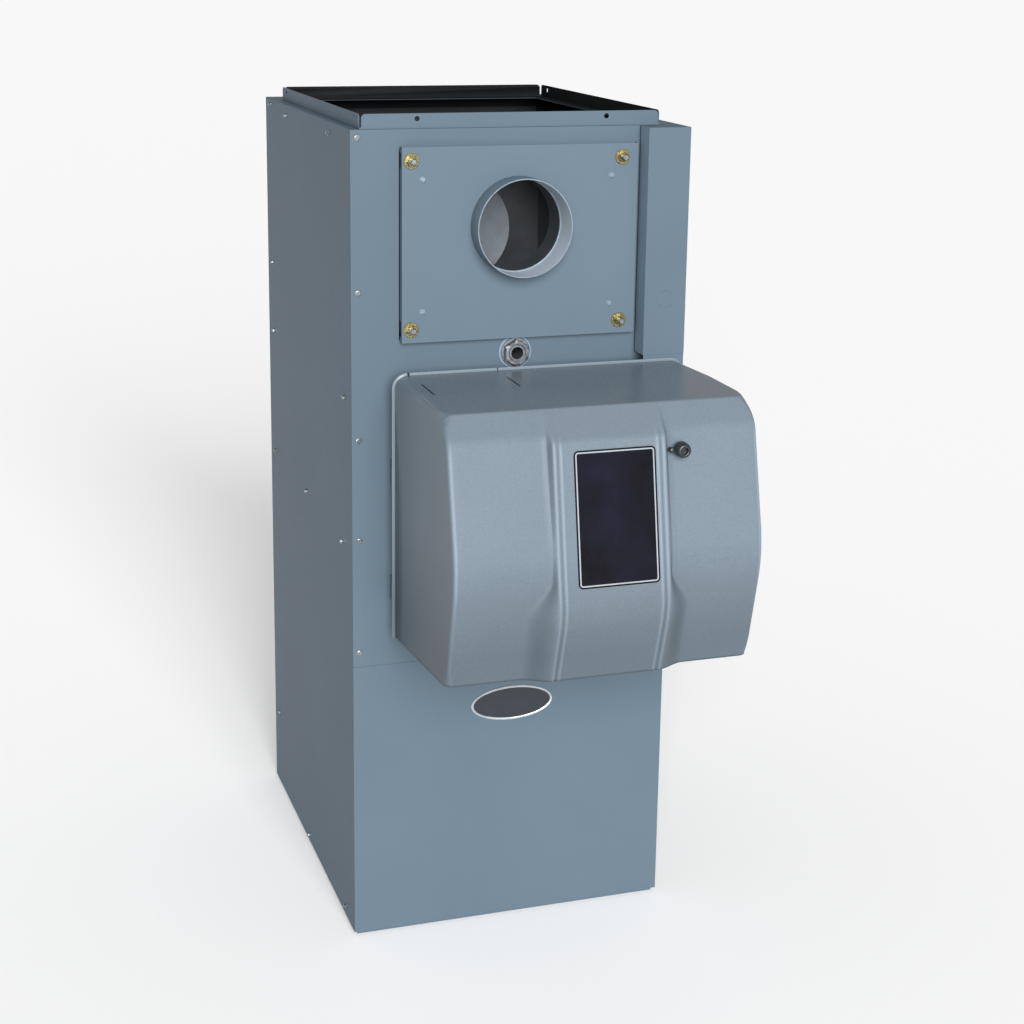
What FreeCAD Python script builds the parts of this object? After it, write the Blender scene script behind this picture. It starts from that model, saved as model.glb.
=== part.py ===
import FreeCAD, Part
import math
import os

# Upflow oil furnace with a moulded burner cover, in millimetres.
# X runs to the right as seen from the front, Y to the back, Z up.
# The origin is the middle of the cabinet's footprint, on the floor.

V = FreeCAD.Vector

# Cabinet, folded from painted sheet steel
cabinet_width = 533.4
cabinet_depth = 647.7
cabinet_height = 1320.8
sheet = 1.2
edge_flange = 25.0
rear_flange = 60.0
base_height = 6.0
base_inset = 6.0
liner_thickness = 12.0
liner_margin = 20.0

# Blower door and the deck above the blower
door_top = 470.0
door_seam = 1.0
door_seat = 0.3
door_lip = 14.0
door_lip_inset = 3.0
deck_height = 505.0
badge_width = 140.0
badge_height = 59.0
badge_thickness = 1.5
badge_z = 381.0

# Supply-air flange on the top
duct_flange_height = 23.0
duct_flange_foot = 15.0
duct_flange_left_inset = 15.0
duct_flange_right_inset = 34.4
duct_flange_front_inset = 4.0
duct_flange_rear_inset = 75.7
duct_hole_radius = 4.0
duct_hole_spacing = 304.8
duct_hole_height = 15.0
duct_side_hole_inset = 36.0
duct_corner_notch = 3.0

# Casing screws with hex washer heads
screw_radius = 2.0
screw_length = 12.0
screw_washer_radius = 4.9
screw_washer_height = 1.0
screw_hex_flats = 6.35
screw_head_height = 3.6
screw_clearance = 0.15
front_screw_inset = 10.7
front_screw_drop = 11.8
front_screw_heights = (1074.0, 842.5, 680.0, 494.5)
rear_screw_inset = 41.7
rear_screw_drop = 9.8
rear_screw_heights = (1026.0, 899.5, 672.5, 151.0)
side_top_screws = ((147.0, 17.8), (472.0, 18.8))
side_screws = ((339.0, 668.0), (51.0, 901.0), (72.0, 659.0), (350.0, 16.0), (65.0, 22.0))

# Wiring raceway up the right-hand side of the front
raceway_width = 69.0
raceway_depth = 41.0
raceway_bottom = 545.0
raceway_cover_bottom = 962.0
raceway_cover_thickness = 1.0
raceway_cover_return = 34.0
raceway_notch = 16.0
knockout_radius = 14.0
knockout_groove = 0.5
knockout_groove_width = 1.2
knockout_drop = 94.0

# Flue plate, a shallow pan on four studs, with its round collar
flue_drop = 175.7
flue_x = -6.0
flue_raceway_gap = 7.2
flue_plate_height = 300.0
flue_plate_stand = 14.0
flue_plate_sheet = 1.5
flue_plate_return = 12.0
flue_side_gap = 0.8
flue_lap = 3.0
flue_stud_inset = 20.5
flue_stud_pitch_z = 258.0
flue_stud_radius = 4.8
flue_stud_reach = 16.0
flue_stud_clearance = 0.4
flue_nut_flats = 14.3
flue_nut_height = 7.0
flue_nut_washer_radius = 12.0
flue_nut_washer = 1.6
flue_slot_height = 24.0
flue_slot_depth = 7.0
flue_screw_inset = 38.1
flue_screw_pitch_z = 202.0
flue_gasket_thickness = 3.0
flue_gasket_frame = 25.0
collar_radius = 76.2
collar_wall = 2.0
collar_step = 1.0
collar_reach = 39.0
collar_tail = 60.0
collar_ledge_setback = 10.0
collar_ledge = 2.0
collar_rise = 27.0
collar_fit = 0.2

# Observation port below the flue plate
port_drop = 18.0
port_x = -3.0
port_pipe_radius = 13.35
port_pipe_bore = 9.5
port_pipe_reach = 12.0
port_hole_radius = 22.0
port_nut_flats = 38.0
port_flange_radius = 23.5
port_flange = 2.0
port_nut_fit = 0.1

# Heat exchanger: drum, radiator box and ceramic chamber
drum_radius = 205.0
drum_setback = 330.0
drum_bottom = 585.0
drum_top_gap = 16.0
exchanger_wall = 2.0
radiator_inset = 8.0
radiator_height = 282.0
radiator_depth = 440.0
radiator_frame = 3.0
neck_radius = 75.0
pouch_radius = 68.0
pouch_flange_size = 190.0
pouch_flange_thickness = 4.0
pouch_flange_setback = 12.0
chamber_radius = 165.0
chamber_wall = 25.0
chamber_height = 260.0
chamber_port_radius = 57.0
exchanger_leg_radius = 170.0
exchanger_leg_width = 30.0
exchanger_leg_sheet = 3.0
baffle_setback = 150.0
baffle_nose_x = -54.0
baffle_radius = 88.0
baffle_sheet = 2.0

# Oil burner on the front panel
burner_z = 735.0
burner_flange_size = 176.0
burner_flange_thickness = 8.0
burner_flange_gap = 10.0
burner_stud_pitch = 146.0
burner_stud_radius = 4.0
burner_nut_flats = 13.0
burner_nut_height = 7.0
burner_fit = 0.2
blast_tube_radius = 51.0
blast_tube_wall = 1.5
blast_tube_end = 180.0
head_length = 25.0
head_wall = 2.0
head_hole_radius = 22.0
head_slot_count = 8
head_slot_width = 3.0
housing_wall = 3.0
housing_half_width = 54.0
housing_half_height = 58.0
housing_front = 215.0
housing_back = 22.0
scroll_radius = 95.0
fan_reach = 165.0
fan_drop = 85.0
igniter_opening_margin = 14.0

# Burner motor, fan, coupling and pump, all on one axis
shaft_radius = 6.35
running_clearance = 0.05
hub_clearance = 0.02
motor_radius = 62.0
motor_length = 118.0
motor_end_length = 18.0
motor_bore_depth = 26.0
fan_radius = 72.0
fan_blade_depth = 13.0
fan_blade_count = 28
fan_blade_thickness = 1.2
fan_plate = 3.0
fan_end_gap = 12.0
fan_hub_radius = 14.0
fan_hub_length = 26.0
coupling_radius = 9.0
coupling_stub_radius = 4.0
coupling_stub_length = 12.0
coupling_gap = 0.5
pump_neck_radius = 24.0
pump_neck_bore = 10.5
pump_neck_length = 10.0
pump_size = 66.0
pump_depth = 58.0
pump_height = 76.0
pump_gear_radius = 27.0
pump_gear_length = 22.0
shutter_radius = 66.0
shutter_thickness = 2.2
shutter_gap = 0.4
shutter_tab = 16.0
inlet_inner_radius = 31.0
inlet_outer_radius = 61.0
inlet_count = 4
inlet_angle = 42.0

# Nozzle line, electrodes and oil tube
nozzle_pipe_radius = 5.5
nozzle_end = 140.0
nozzle_adapter_radius = 11.0
nozzle_adapter_length = 24.0
nozzle_tip_radius = 7.0
nozzle_tip_length = 10.0
nozzle_nut_radius = 10.0
nozzle_nut_length = 7.0
nozzle_tail = 6.0
clamp_setback = 70.0
clamp_thickness = 4.0
electrode_offset = 15.0
electrode_rise = 17.0
electrode_radius = 5.0
electrode_wire_radius = 1.5
electrode_wire_reach = 22.0
electrode_start = 60.0
electrode_end = 120.0
oil_tube_radius = 3.2
oil_tube_bend = 18.0

# Igniter, primary control and reset button
igniter_width = 100.0
igniter_depth = 92.0
igniter_height = 55.0
igniter_plate = 3.0
igniter_plate_margin = 4.0
igniter_seat = 0.3
hinge_reach = 104.0
hinge_pin_radius = 2.5
hinge_pin_length = 96.0
hinge_rise = 6.5
hinge_ear_radius = 5.0
hinge_ear_width = 10.0
hinge_ear_gap = 1.0
hinge_plate_gap = 8.0
control_width = 52.0
control_depth = 90.0
control_height = 80.0
control_gap = 6.0
reset_radius = 7.0
reset_clearance = 0.25
reset_stand = 6.0
reset_depth = 5.0
reset_travel = 3.0
reset_rise = 18.0

# Circulating blower under the deck
blower_setback = 330.0
blower_z = 255.0
blower_half_width = 125.0
blower_scroll_radius = 165.0
blower_outlet_back = 12.0
blower_inlet_radius = 118.0
blower_flange = 15.0
blower_wheel_radius = 127.0
blower_wheel_half_width = 100.0
blower_blade_depth = 20.0
blower_blade_count = 36
blower_blade_thickness = 1.0
blower_ring = 3.0
blower_hub_radius = 16.0
blower_hub_length = 26.0
blower_hub_x = -20.0
blower_motor_radius = 68.0
blower_motor_start = 15.0
blower_motor_length = 125.0
blower_motor_bore = 30.0
mount_band = 2.0
mount_band_width = 22.0
mount_arm_width = 14.0
mount_arm_thickness = 3.0
mount_arm_lap = 14.0
mount_arm_count = 3
rail_lip = 14.0
rail_clearance = 0.3

# Controls in the raceway and the blower bay
board_width = 54.0
board_height = 160.0
board_thickness = 1.6
board_standoff = 6.0
board_standoff_radius = 3.0
board_drop = 47.0
relay_size = 18.0
limit_rise = 78.0
limit_width = 34.0
limit_height = 44.0
limit_depth = 18.0
limit_probe_radius = 3.0
limit_probe_length = 110.0
limit_probe_clearance = 0.3
switch_x = 150.0
switch_width = 30.0
switch_depth = 26.0
switch_height = 24.0
switch_drop = 30.0
switch_setback = 10.0
plunger_radius = 3.0
plunger_clearance = 0.2
plunger_depth = 10.0
plunger_travel = 2.0

# Moulded burner cover. Reaches are distances in front of the cabinet's front plane.
cover_seat = 0.3
cover_left_inset = 56.7
cover_lip = 4.0
cover_lip_depth = 5.0
cover_lip_corner = 26.0
cover_wall = 3.5
cover_top = 952.0
cover_bottom = 533.0
crease_reach = 296.0
crease_drop = 1.0
crease_round = 8.0
shoulder_reach = 325.0
shoulder_z = 915.0
shoulder_round = 40.0
knee_reach = 372.0
knee_z = 735.0
knee_round = 180.0
hem_reach = 328.0
hem_z = 557.0
band_half_width = 84.0
band_splay = 27.0
band_shoulder_reach = 334.0
band_shoulder_z = 910.0
band_shoulder_round = 30.0
band_knee_reach = 382.0
band_knee_z = 666.0
band_knee_round = 120.0
band_hem_reach = 348.0
band_hem_z = 557.0
cover_end_round = 18.0
label_width = 125.0
label_bottom = 703.0
label_top = 897.0
label_thickness = 0.8
label_shift = 8.5
knob_offset = 110.0
knob_z = 890.0
knob_radius = 11.5
knob_length = 17.0
knob_gap = 0.3
knob_ear = 8.0
knob_ear_radius = 4.0
boss_radius = 9.0
boss_height = 8.0
stud_radius = 4.0
stud_clearance = 0.3
stud_grip = 10.0
stud_foot = 3.0
stud_foot_radius = 12.0
hanger_heights = (600.0, 790.0)
hanger_height = 40.0
hanger_sheet = 1.5
hanger_foot = 20.0
hanger_tab = 8.0

# Places that follow from the sizes
front = -cabinet_depth / 2
rear = cabinet_depth / 2
side = cabinet_width / 2
inner_side = side - sheet
flue_z = cabinet_height - flue_drop
drum_y = front + drum_setback
drum_top = flue_z - radiator_height / 2 - drum_top_gap
drum_height = drum_top - drum_bottom
port_z = drum_top - port_drop
knockout_z = flue_z - knockout_drop
board_z = flue_z - board_drop
limit_z = flue_z + limit_rise
flue_plate_y = front - flue_plate_stand
gasket_y = flue_plate_y + flue_plate_sheet
radiator_y = gasket_y + flue_gasket_thickness
collar_z = flue_z + collar_rise
raceway_left = side - raceway_width
flue_plate_width = 2 * (raceway_left - flue_raceway_gap)
flue_stud_pitch_x = flue_plate_width - 2 * flue_stud_inset
flue_screw_pitch_x = flue_plate_width - 2 * flue_screw_inset
radiator_width = flue_plate_width - 2 * radiator_inset
raceway_front = front - raceway_depth
pouch_y = front + pouch_flange_setback
burner_flange_back = pouch_y
burner_flange_front = burner_flange_back - burner_flange_thickness
fan_y = front - fan_reach
fan_z = burner_z - fan_drop
housing_top = burner_z + housing_half_height
tube_y = front - housing_back
blower_y = front + blower_setback
shutter_outer = -housing_half_width - shutter_gap - shutter_thickness
pump_face = -housing_half_width - pump_neck_length
duct_left = -side + duct_flange_left_inset
duct_front = front + duct_flange_front_inset
duct_x = (duct_left, side - duct_flange_right_inset)
duct_y = (duct_front, rear - duct_flange_rear_inset)
cover_reach = raceway_depth + cover_seat
cover_x = (-side + cover_left_inset, side - cover_lip)
cover_middle = (cover_x[0] + cover_x[1]) / 2
knob_x = cover_middle + knob_offset


def mid(centre, size):
    """The low and high ends of a span about its centre."""
    return (centre - size / 2, centre + size / 2)


def grow(span, amount):
    return (span[0] - amount, span[1] + amount)


def box(x, y, z):
    """A block between the low and high ends of three spans."""
    return Part.makeBox(x[1] - x[0], y[1] - y[0], z[1] - z[0], V(x[0], y[0], z[0]))


def bar_x(x, y, z, radius):
    return Part.makeCylinder(radius, x[1] - x[0], V(x[0], y, z), V(1, 0, 0))


def bar_y(x, y, z, radius):
    return Part.makeCylinder(radius, y[1] - y[0], V(x, y[0], z), V(0, 1, 0))


def bar_z(x, y, z, radius):
    return Part.makeCylinder(radius, z[1] - z[0], V(x, y, z[0]), V(0, 0, 1))


def join(*shapes):
    return shapes[0].multiFuse(list(shapes[1:])).removeSplitter()


def cut(shape, *tools):
    return shape.cut(list(tools))


def hexagon(centre, direction, flats, height):
    """A hexagonal prism from its start point along a direction."""
    axis = V(direction)
    spoke = V(0, 0, 1) if abs(axis.z) < 0.5 else V(1, 0, 0)
    turn = FreeCAD.Rotation(axis, 60)
    corners = []
    corner = spoke * (flats / math.sqrt(3))
    for _ in range(6):
        corners.append(centre + corner)
        corner = turn.multVec(corner)
    face = Part.Face(Part.makePolygon(corners + [corners[0]]))
    return face.extrude(axis * height)


def grid(x_pitch, z_middle, z_pitch, x_middle=0):
    """The four corners of a rectangle on the front, as x and z."""
    return [(x_middle + sx * x_pitch / 2, z_middle + sz * z_pitch / 2) for sx in (-1, 1) for sz in (-1, 1)]


def screw(point, direction):
    """A hex washer head screw. The point is on the surface, the direction points out of it."""
    axis = V(direction)
    shank = Part.makeCylinder(screw_radius, screw_length, point, axis * -1)
    washer = Part.makeCylinder(screw_washer_radius, screw_washer_height, point, axis)
    head = hexagon(point, axis, screw_hex_flats, screw_head_height)
    return join(shank, washer, head)


def screw_hole(point, direction):
    axis = V(direction)
    depth = screw_length + 2 * sheet
    return Part.makeCylinder(screw_radius + screw_clearance, depth, point + axis * sheet, axis * -1)


def casing_screw_places():
    """Surface point and outward direction of each screw in the cabinet."""
    heights = (cabinet_height - front_screw_drop,) + front_screw_heights
    places = [(V(-side + front_screw_inset, front, z), V(0, -1, 0)) for z in heights]
    places.append((V(side - front_screw_inset, front, front_screw_heights[-1]), V(0, -1, 0)))
    rear_heights = (cabinet_height - rear_screw_drop,) + rear_screw_heights
    spots = [(front + setback, cabinet_height - drop) for setback, drop in side_top_screws]
    spots += [(front + setback, z) for setback, z in side_screws]
    spots += [(rear - rear_screw_inset, z) for z in rear_heights]
    for sign in (-1, 1):
        for y, z in spots:
            places.append((V(sign * side, y, z), V(sign, 0, 0)))
    return places


def drilled(shape):
    """The shape with a hole for each casing screw."""
    return cut(shape, *[screw_hole(*place) for place in casing_screw_places()])


# Cabinet

def make_base_pan():
    x = (-side + base_inset, side - base_inset)
    y = (front + base_inset, rear - base_inset)
    tray = box(x, y, (0, base_height))
    return cut(tray, box(grow(x, -sheet), grow(y, -sheet), (sheet, base_height + 1)))


def make_side_panel(sign):
    """The left panel for -1, the right panel for 1."""
    skin_x = tuple(sorted((sign * side, sign * inner_side)))
    flange_x = tuple(sorted((sign * side, sign * (side - edge_flange))))
    along = (front + sheet, rear - sheet)
    skin = box(skin_x, (front + sheet, rear), (base_height, cabinet_height))
    turned = box(flange_x, (front + sheet, front + 2 * sheet), (base_height, cabinet_height - sheet))
    foot = box(flange_x, along, (base_height, base_height + sheet))
    ledge = box(flange_x, along, (cabinet_height - 2 * sheet, cabinet_height - sheet))
    return drilled(join(skin, turned, foot, ledge))


def make_rear_panel():
    plate = box((-inner_side, inner_side), (rear - sheet, rear), (base_height, cabinet_height))
    height = (base_height + sheet, cabinet_height - 2 * sheet)
    along = (rear - rear_flange, rear)
    left = box((-inner_side, -inner_side + sheet), along, height)
    right = box((inner_side - sheet, inner_side), along, height)
    return drilled(join(plate, left, right))


def duct_opening():
    """Spans of the supply-air opening, inside the flange's foot."""
    inset = sheet + duct_flange_foot
    return grow(duct_x, -inset), grow(duct_y, -inset)


def make_top_panel():
    height = (cabinet_height - sheet, cabinet_height)
    plate = box((-inner_side, inner_side), (front + sheet, rear - sheet), height)
    opening_x, opening_y = duct_opening()
    return cut(plate, box(opening_x, opening_y, grow(height, 1)))


def make_upper_front_panel():
    depth = (front, front + sheet)
    low = door_top + door_seam
    plate = box((-side, side), depth, (low, cabinet_height))
    lip_half = side - edge_flange - door_lip_inset
    lip = box((-lip_half, lip_half), (front, front + door_lip), (low, low + sheet))
    through = grow(depth, 1)
    opening_x = mid(0, flue_plate_width + 2 * flue_side_gap)
    flue = box(opening_x, through, mid(flue_z, flue_plate_height - 2 * flue_lap))
    port = bar_y(port_x, through, port_z, port_hole_radius)
    opening = burner_flange_size + 2 * burner_flange_gap
    burner = box(mid(0, opening), through, mid(burner_z, opening))
    limit_x = (raceway_left + side) / 2
    probe = bar_y(limit_x, through, limit_z, limit_probe_radius + limit_probe_clearance)
    return drilled(cut(join(plate, lip), flue, port, burner, probe))


def make_blower_door():
    depth = (front - door_seat, front + sheet - door_seat)
    height = (base_height + door_seam, door_top)
    lip_half = side - edge_flange - door_lip_inset
    lip_y = (depth[0], front + door_lip)
    plate = box((-side, side), depth, height)
    upper = box((-lip_half, lip_half), lip_y, (door_top - sheet, door_top))
    lower = box((-lip_half, lip_half), lip_y, (height[0], height[0] + sheet))
    return join(plate, upper, lower)


def make_badge_plate():
    rim = Part.Ellipse(V(0, 0, 0), badge_width / 2, badge_height / 2).toShape()
    plate = Part.Face(Part.Wire(rim)).extrude(V(0, 0, badge_thickness))
    plate.rotate(V(0, 0, 0), V(1, 0, 0), 90)
    plate.translate(V(0, front - door_seat, badge_z))
    return plate


def make_supply_air_flange():
    height = (cabinet_height, cabinet_height + duct_flange_height)
    hollow = grow(height, 1)
    wall = cut(box(duct_x, duct_y, height), box(grow(duct_x, -sheet), grow(duct_y, -sheet), hollow))
    foot_z = (cabinet_height, cabinet_height + sheet)
    opening_x, opening_y = duct_opening()
    foot = cut(box(duct_x, duct_y, foot_z), box(opening_x, opening_y, hollow))
    flange = join(wall, foot)
    middle = sum(duct_x) / 2
    hole_z = cabinet_height + duct_hole_height
    tools = []
    for x in mid(middle, duct_hole_spacing):
        tools.append(bar_y(x, (duct_y[0] - 1, duct_y[0] + sheet + 1), hole_z, duct_hole_radius))
    for y in grow(duct_y, -duct_side_hole_inset):
        tools.append(bar_x(grow(duct_x, 1), y, hole_z, duct_hole_radius))
    for x in duct_x:
        for y in duct_y:
            notch = (cabinet_height + duct_corner_notch, height[1] + 1)
            tools.append(box(mid(x, 2 * duct_corner_notch), mid(y, 2 * duct_corner_notch), notch))
    return cut(flange, *tools)


def blower_outlet():
    """Spans of the blower's outlet, outside its wall."""
    x = mid(0, 2 * blower_half_width)
    return x, (blower_y - blower_scroll_radius, blower_y + blower_outlet_back)


def make_blower_deck():
    half = inner_side - sheet
    plate = box((-half, half), (front + 2 * sheet, rear - sheet), (deck_height, deck_height + sheet))
    x, y = blower_outlet()
    return cut(plate, box(grow(x, -sheet), grow(y, -sheet), grow((deck_height, deck_height + sheet), 1)))


def make_casing_liner():
    height = (deck_height + sheet, cabinet_height - 2 * sheet - liner_margin)
    along = (front + 2 * sheet + liner_margin, rear - rear_flange - liner_margin)
    left = box((-inner_side, -inner_side + liner_thickness), along, height)
    right = box((inner_side - liner_thickness, inner_side), along, height)
    half = inner_side - sheet - liner_margin
    back = box((-half, half), (rear - sheet - liner_thickness, rear - sheet), height)
    return [drilled(left), drilled(right), back]


def make_casing_screws():
    return [screw(*place) for place in casing_screw_places()]


# Wiring raceway

def make_wiring_raceway():
    x = (raceway_left, side)
    y = (raceway_front, front)
    height = (raceway_bottom, cabinet_height)
    shell = box(x, y, height)
    hollow = box(grow(x, -sheet), (raceway_front + sheet, front + 1), grow(height, -sheet))
    notch_z = (raceway_cover_bottom - raceway_notch, raceway_cover_bottom)
    notch = box((raceway_left - 1, raceway_left + sheet + 1), (raceway_front + sheet, front + 1), notch_z)
    return cut(shell, hollow, notch)


def make_raceway_cover():
    thickness = raceway_cover_thickness
    height = (raceway_cover_bottom, cabinet_height)
    plate = box((raceway_left - thickness, side), (raceway_front - thickness, raceway_front), height)
    turned_y = (raceway_front - thickness, raceway_front + raceway_cover_return)
    turned = box((raceway_left - thickness, raceway_left), turned_y, height)
    middle = (raceway_left + side) / 2
    groove_y = (raceway_front - thickness - 1, raceway_front - thickness + knockout_groove)
    groove = cut(
        bar_y(middle, groove_y, knockout_z, knockout_radius),
        bar_y(middle, groove_y, knockout_z, knockout_radius - knockout_groove_width),
    )
    return cut(join(plate, turned), groove)


# Flue plate and collar

def make_flue_plate():
    width = mid(0, flue_plate_width)
    height = mid(flue_z, flue_plate_height)
    plate = box(width, (flue_plate_y, gasket_y), height)
    returns_y = (flue_plate_y, gasket_y + flue_plate_return)
    left = box((width[0], width[0] + flue_plate_sheet), returns_y, height)
    right = box((width[1] - flue_plate_sheet, width[1]), returns_y, height)
    through = (flue_plate_y - 1, gasket_y + 1)
    tools = [bar_y(flue_x, through, collar_z, collar_radius - collar_step + collar_fit)]
    for x, z in flue_stud_places():
        tools.append(bar_y(x, through, z, flue_stud_radius + flue_stud_clearance))
        slot_y = (gasket_y + flue_plate_return - flue_slot_depth, gasket_y + flue_plate_return + 1)
        edge = math.copysign(flue_plate_width / 2, x - flue_x)
        tools.append(box(mid(edge, 4 * flue_plate_sheet), slot_y, mid(z, flue_slot_height)))
    for x, z in grid(flue_screw_pitch_x, flue_z, flue_screw_pitch_z, flue_x):
        tools.append(bar_y(x, through, z, screw_radius + screw_clearance))
    return cut(join(plate, left, right), *tools)


def make_flue_collar():
    along = (flue_plate_y - collar_reach, flue_plate_y + collar_tail)
    spigot = bar_y(flue_x, (along[0], flue_plate_y), collar_z, collar_radius)
    tail = bar_y(flue_x, along, collar_z, collar_radius - collar_step)
    bore_radius = collar_radius - collar_wall
    mouth = bar_y(flue_x, (along[0] - 1, flue_plate_y + collar_ledge_setback), collar_z, bore_radius)
    bore = bar_y(flue_x, grow(along, 1), collar_z, bore_radius - collar_ledge)
    return cut(join(spigot, tail), mouth, bore)


def flue_stud_places():
    return grid(flue_stud_pitch_x, flue_z, flue_stud_pitch_z, flue_x)


def make_flue_studs():
    along = (flue_plate_y - flue_stud_reach, radiator_y)
    return [bar_y(x, along, z, flue_stud_radius) for x, z in flue_stud_places()]


def make_flue_nuts():
    nuts = []
    for x, z in flue_stud_places():
        seat = V(x, flue_plate_y, z)
        washer = bar_y(x, (flue_plate_y - flue_nut_washer, flue_plate_y), z, flue_nut_washer_radius)
        nut = hexagon(seat, V(0, -1, 0), flue_nut_flats, flue_nut_washer + flue_nut_height)
        bore_y = (flue_plate_y - flue_stud_reach, flue_plate_y + 1)
        bore = bar_y(x, bore_y, z, flue_stud_radius + hub_clearance)
        nuts.append(cut(join(washer, nut), bore))
    return nuts


def make_flue_plate_screws():
    places = grid(flue_screw_pitch_x, flue_z, flue_screw_pitch_z, flue_x)
    return [screw(V(x, flue_plate_y, z), V(0, -1, 0)) for x, z in places]


def flue_frame_opening(depth):
    """The rectangular mouth of the radiator box, over a span of depth."""
    width = radiator_width - 2 * flue_gasket_frame
    height = radiator_height - 2 * flue_gasket_frame
    return box(mid(flue_x, width), depth, mid(flue_z, height))


def make_flue_gasket():
    depth = (gasket_y, radiator_y)
    frame = box(mid(0, radiator_width), depth, mid(flue_z, radiator_height))
    tools = [flue_frame_opening(grow(depth, 1))]
    for x, z in flue_stud_places():
        tools.append(bar_y(x, grow(depth, 1), z, flue_stud_radius + flue_stud_clearance))
    return cut(frame, *tools)


def make_flue_baffle():
    y = (front + baffle_setback, front + baffle_setback + baffle_sheet)
    wall = -radiator_width / 2 + exchanger_wall
    plate = box((wall, baffle_nose_x), y, mid(flue_z, 2 * baffle_radius))
    return join(plate, bar_y(baffle_nose_x, y, flue_z, baffle_radius))


def make_observation_port_pipe():
    along = (front - port_pipe_reach, drum_y - drum_radius + exchanger_wall + port_pipe_radius)
    pipe = bar_y(port_x, along, port_z, port_pipe_radius)
    return cut(pipe, bar_y(port_x, grow(along, 1), port_z, port_pipe_bore))


def make_observation_port_nut():
    along = (front - port_pipe_reach, front)
    nut = hexagon(V(port_x, along[0], port_z), V(0, 1, 0), port_nut_flats, port_pipe_reach)
    flange = bar_y(port_x, (front - port_flange, front), port_z, port_flange_radius)
    return cut(join(nut, flange), bar_y(port_x, grow(along, 1), port_z, port_pipe_radius + port_nut_fit))


# Heat exchanger

def burner_studs():
    return grid(burner_stud_pitch, burner_z, burner_stud_pitch)


def make_heat_exchanger_drum():
    height = (drum_bottom, drum_top)
    shell = bar_z(0, drum_y, height, drum_radius)
    pouch = bar_y(0, (pouch_y, drum_y), burner_z, pouch_radius)
    flange_y = (pouch_y, pouch_y + pouch_flange_thickness)
    flange = box(mid(0, pouch_flange_size), flange_y, mid(burner_z, pouch_flange_size))
    stud_y = (burner_flange_front - burner_nut_height, pouch_y + pouch_flange_thickness)
    studs = [bar_y(x, stud_y, z, burner_stud_radius) for x, z in burner_studs()]
    hollow = bar_z(0, drum_y, grow(height, -exchanger_wall), drum_radius - exchanger_wall)
    bore = bar_y(0, (pouch_y - 1, drum_y), burner_z, pouch_radius - exchanger_wall)
    mouth = bar_z(0, drum_y, (drum_top - 2 * exchanger_wall, drum_top + 1), neck_radius - exchanger_wall)
    port = bar_y(port_x, (front, drum_y), port_z, port_pipe_radius + port_nut_fit)
    return cut(join(shell, pouch, flange, *studs), hollow, bore, mouth, port)


def make_radiator_box():
    along = (radiator_y, radiator_y + radiator_depth)
    height = mid(flue_z, radiator_height)
    shell = box(mid(0, radiator_width), along, height)
    neck = bar_z(0, drum_y, (drum_top, height[0] + exchanger_wall), neck_radius)
    hollow_x = mid(0, radiator_width - 2 * exchanger_wall)
    hollow_y = (along[0] + radiator_frame, along[1] - exchanger_wall)
    hollow = box(hollow_x, hollow_y, grow(height, -exchanger_wall))
    mouth = flue_frame_opening((along[0] - 1, along[0] + radiator_frame + 1))
    throat = bar_z(0, drum_y, (drum_top - 1, height[0] + 2 * exchanger_wall), neck_radius - exchanger_wall)
    return cut(join(shell, neck), hollow, mouth, throat)


def make_combustion_chamber():
    floor = drum_bottom + exchanger_wall
    height = (floor, floor + chamber_height)
    cup = bar_z(0, drum_y, height, chamber_radius)
    hollow = bar_z(0, drum_y, (floor + chamber_wall, height[1] + 1), chamber_radius - chamber_wall)
    port = bar_y(0, (drum_y - chamber_radius - 1, drum_y), burner_z, chamber_port_radius)
    return cut(cup, hollow, port)


def make_heat_exchanger_legs():
    legs = []
    height = (deck_height + sheet, drum_bottom)
    for sx in (-1, 1):
        for sy in (-1, 1):
            x = sx * exchanger_leg_radius * math.sqrt(0.5)
            y = drum_y + sy * exchanger_leg_radius * math.sqrt(0.5)
            span_x = mid(x, exchanger_leg_width)
            span_y = mid(y, exchanger_leg_width)
            leg = box(span_x, span_y, height)
            inside_x = (span_x[0] + exchanger_leg_sheet, span_x[1] + 1)
            inside_y = (span_y[0] + exchanger_leg_sheet, span_y[1] + 1)
            legs.append(cut(leg, box(inside_x, inside_y, grow(height, 1))))
    return legs


# Oil burner

def make_burner_flange():
    depth = (burner_flange_front, burner_flange_back)
    plate = box(mid(0, burner_flange_size), depth, mid(burner_z, burner_flange_size))
    tools = [bar_y(0, grow(depth, 1), burner_z, blast_tube_radius + burner_fit)]
    for x, z in burner_studs():
        tools.append(bar_y(x, grow(depth, 1), z, burner_stud_radius + burner_fit))
    return cut(plate, *tools)


def make_burner_flange_nuts():
    nuts = []
    for x, z in burner_studs():
        nut = hexagon(V(x, burner_flange_front, z), V(0, -1, 0), burner_nut_flats, burner_nut_height)
        along = (burner_flange_front - burner_nut_height, burner_flange_front)
        nuts.append(cut(nut, bar_y(x, grow(along, 1), z, burner_stud_radius + hub_clearance)))
    return nuts


def inlet_slots(x):
    """The air inlet's sector openings, over a span of x."""
    slots = []
    for step in range(inlet_count):
        start = V(x[0], fan_y, fan_z)
        sector = Part.makeCylinder(inlet_outer_radius, x[1] - x[0], start, V(1, 0, 0), inlet_angle)
        sector = cut(sector, bar_x(grow(x, 1), fan_y, fan_z, inlet_inner_radius))
        sector.rotate(V(0, fan_y, fan_z), V(1, 0, 0), step * 360 / inlet_count)
        slots.append(sector)
    return slots


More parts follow.
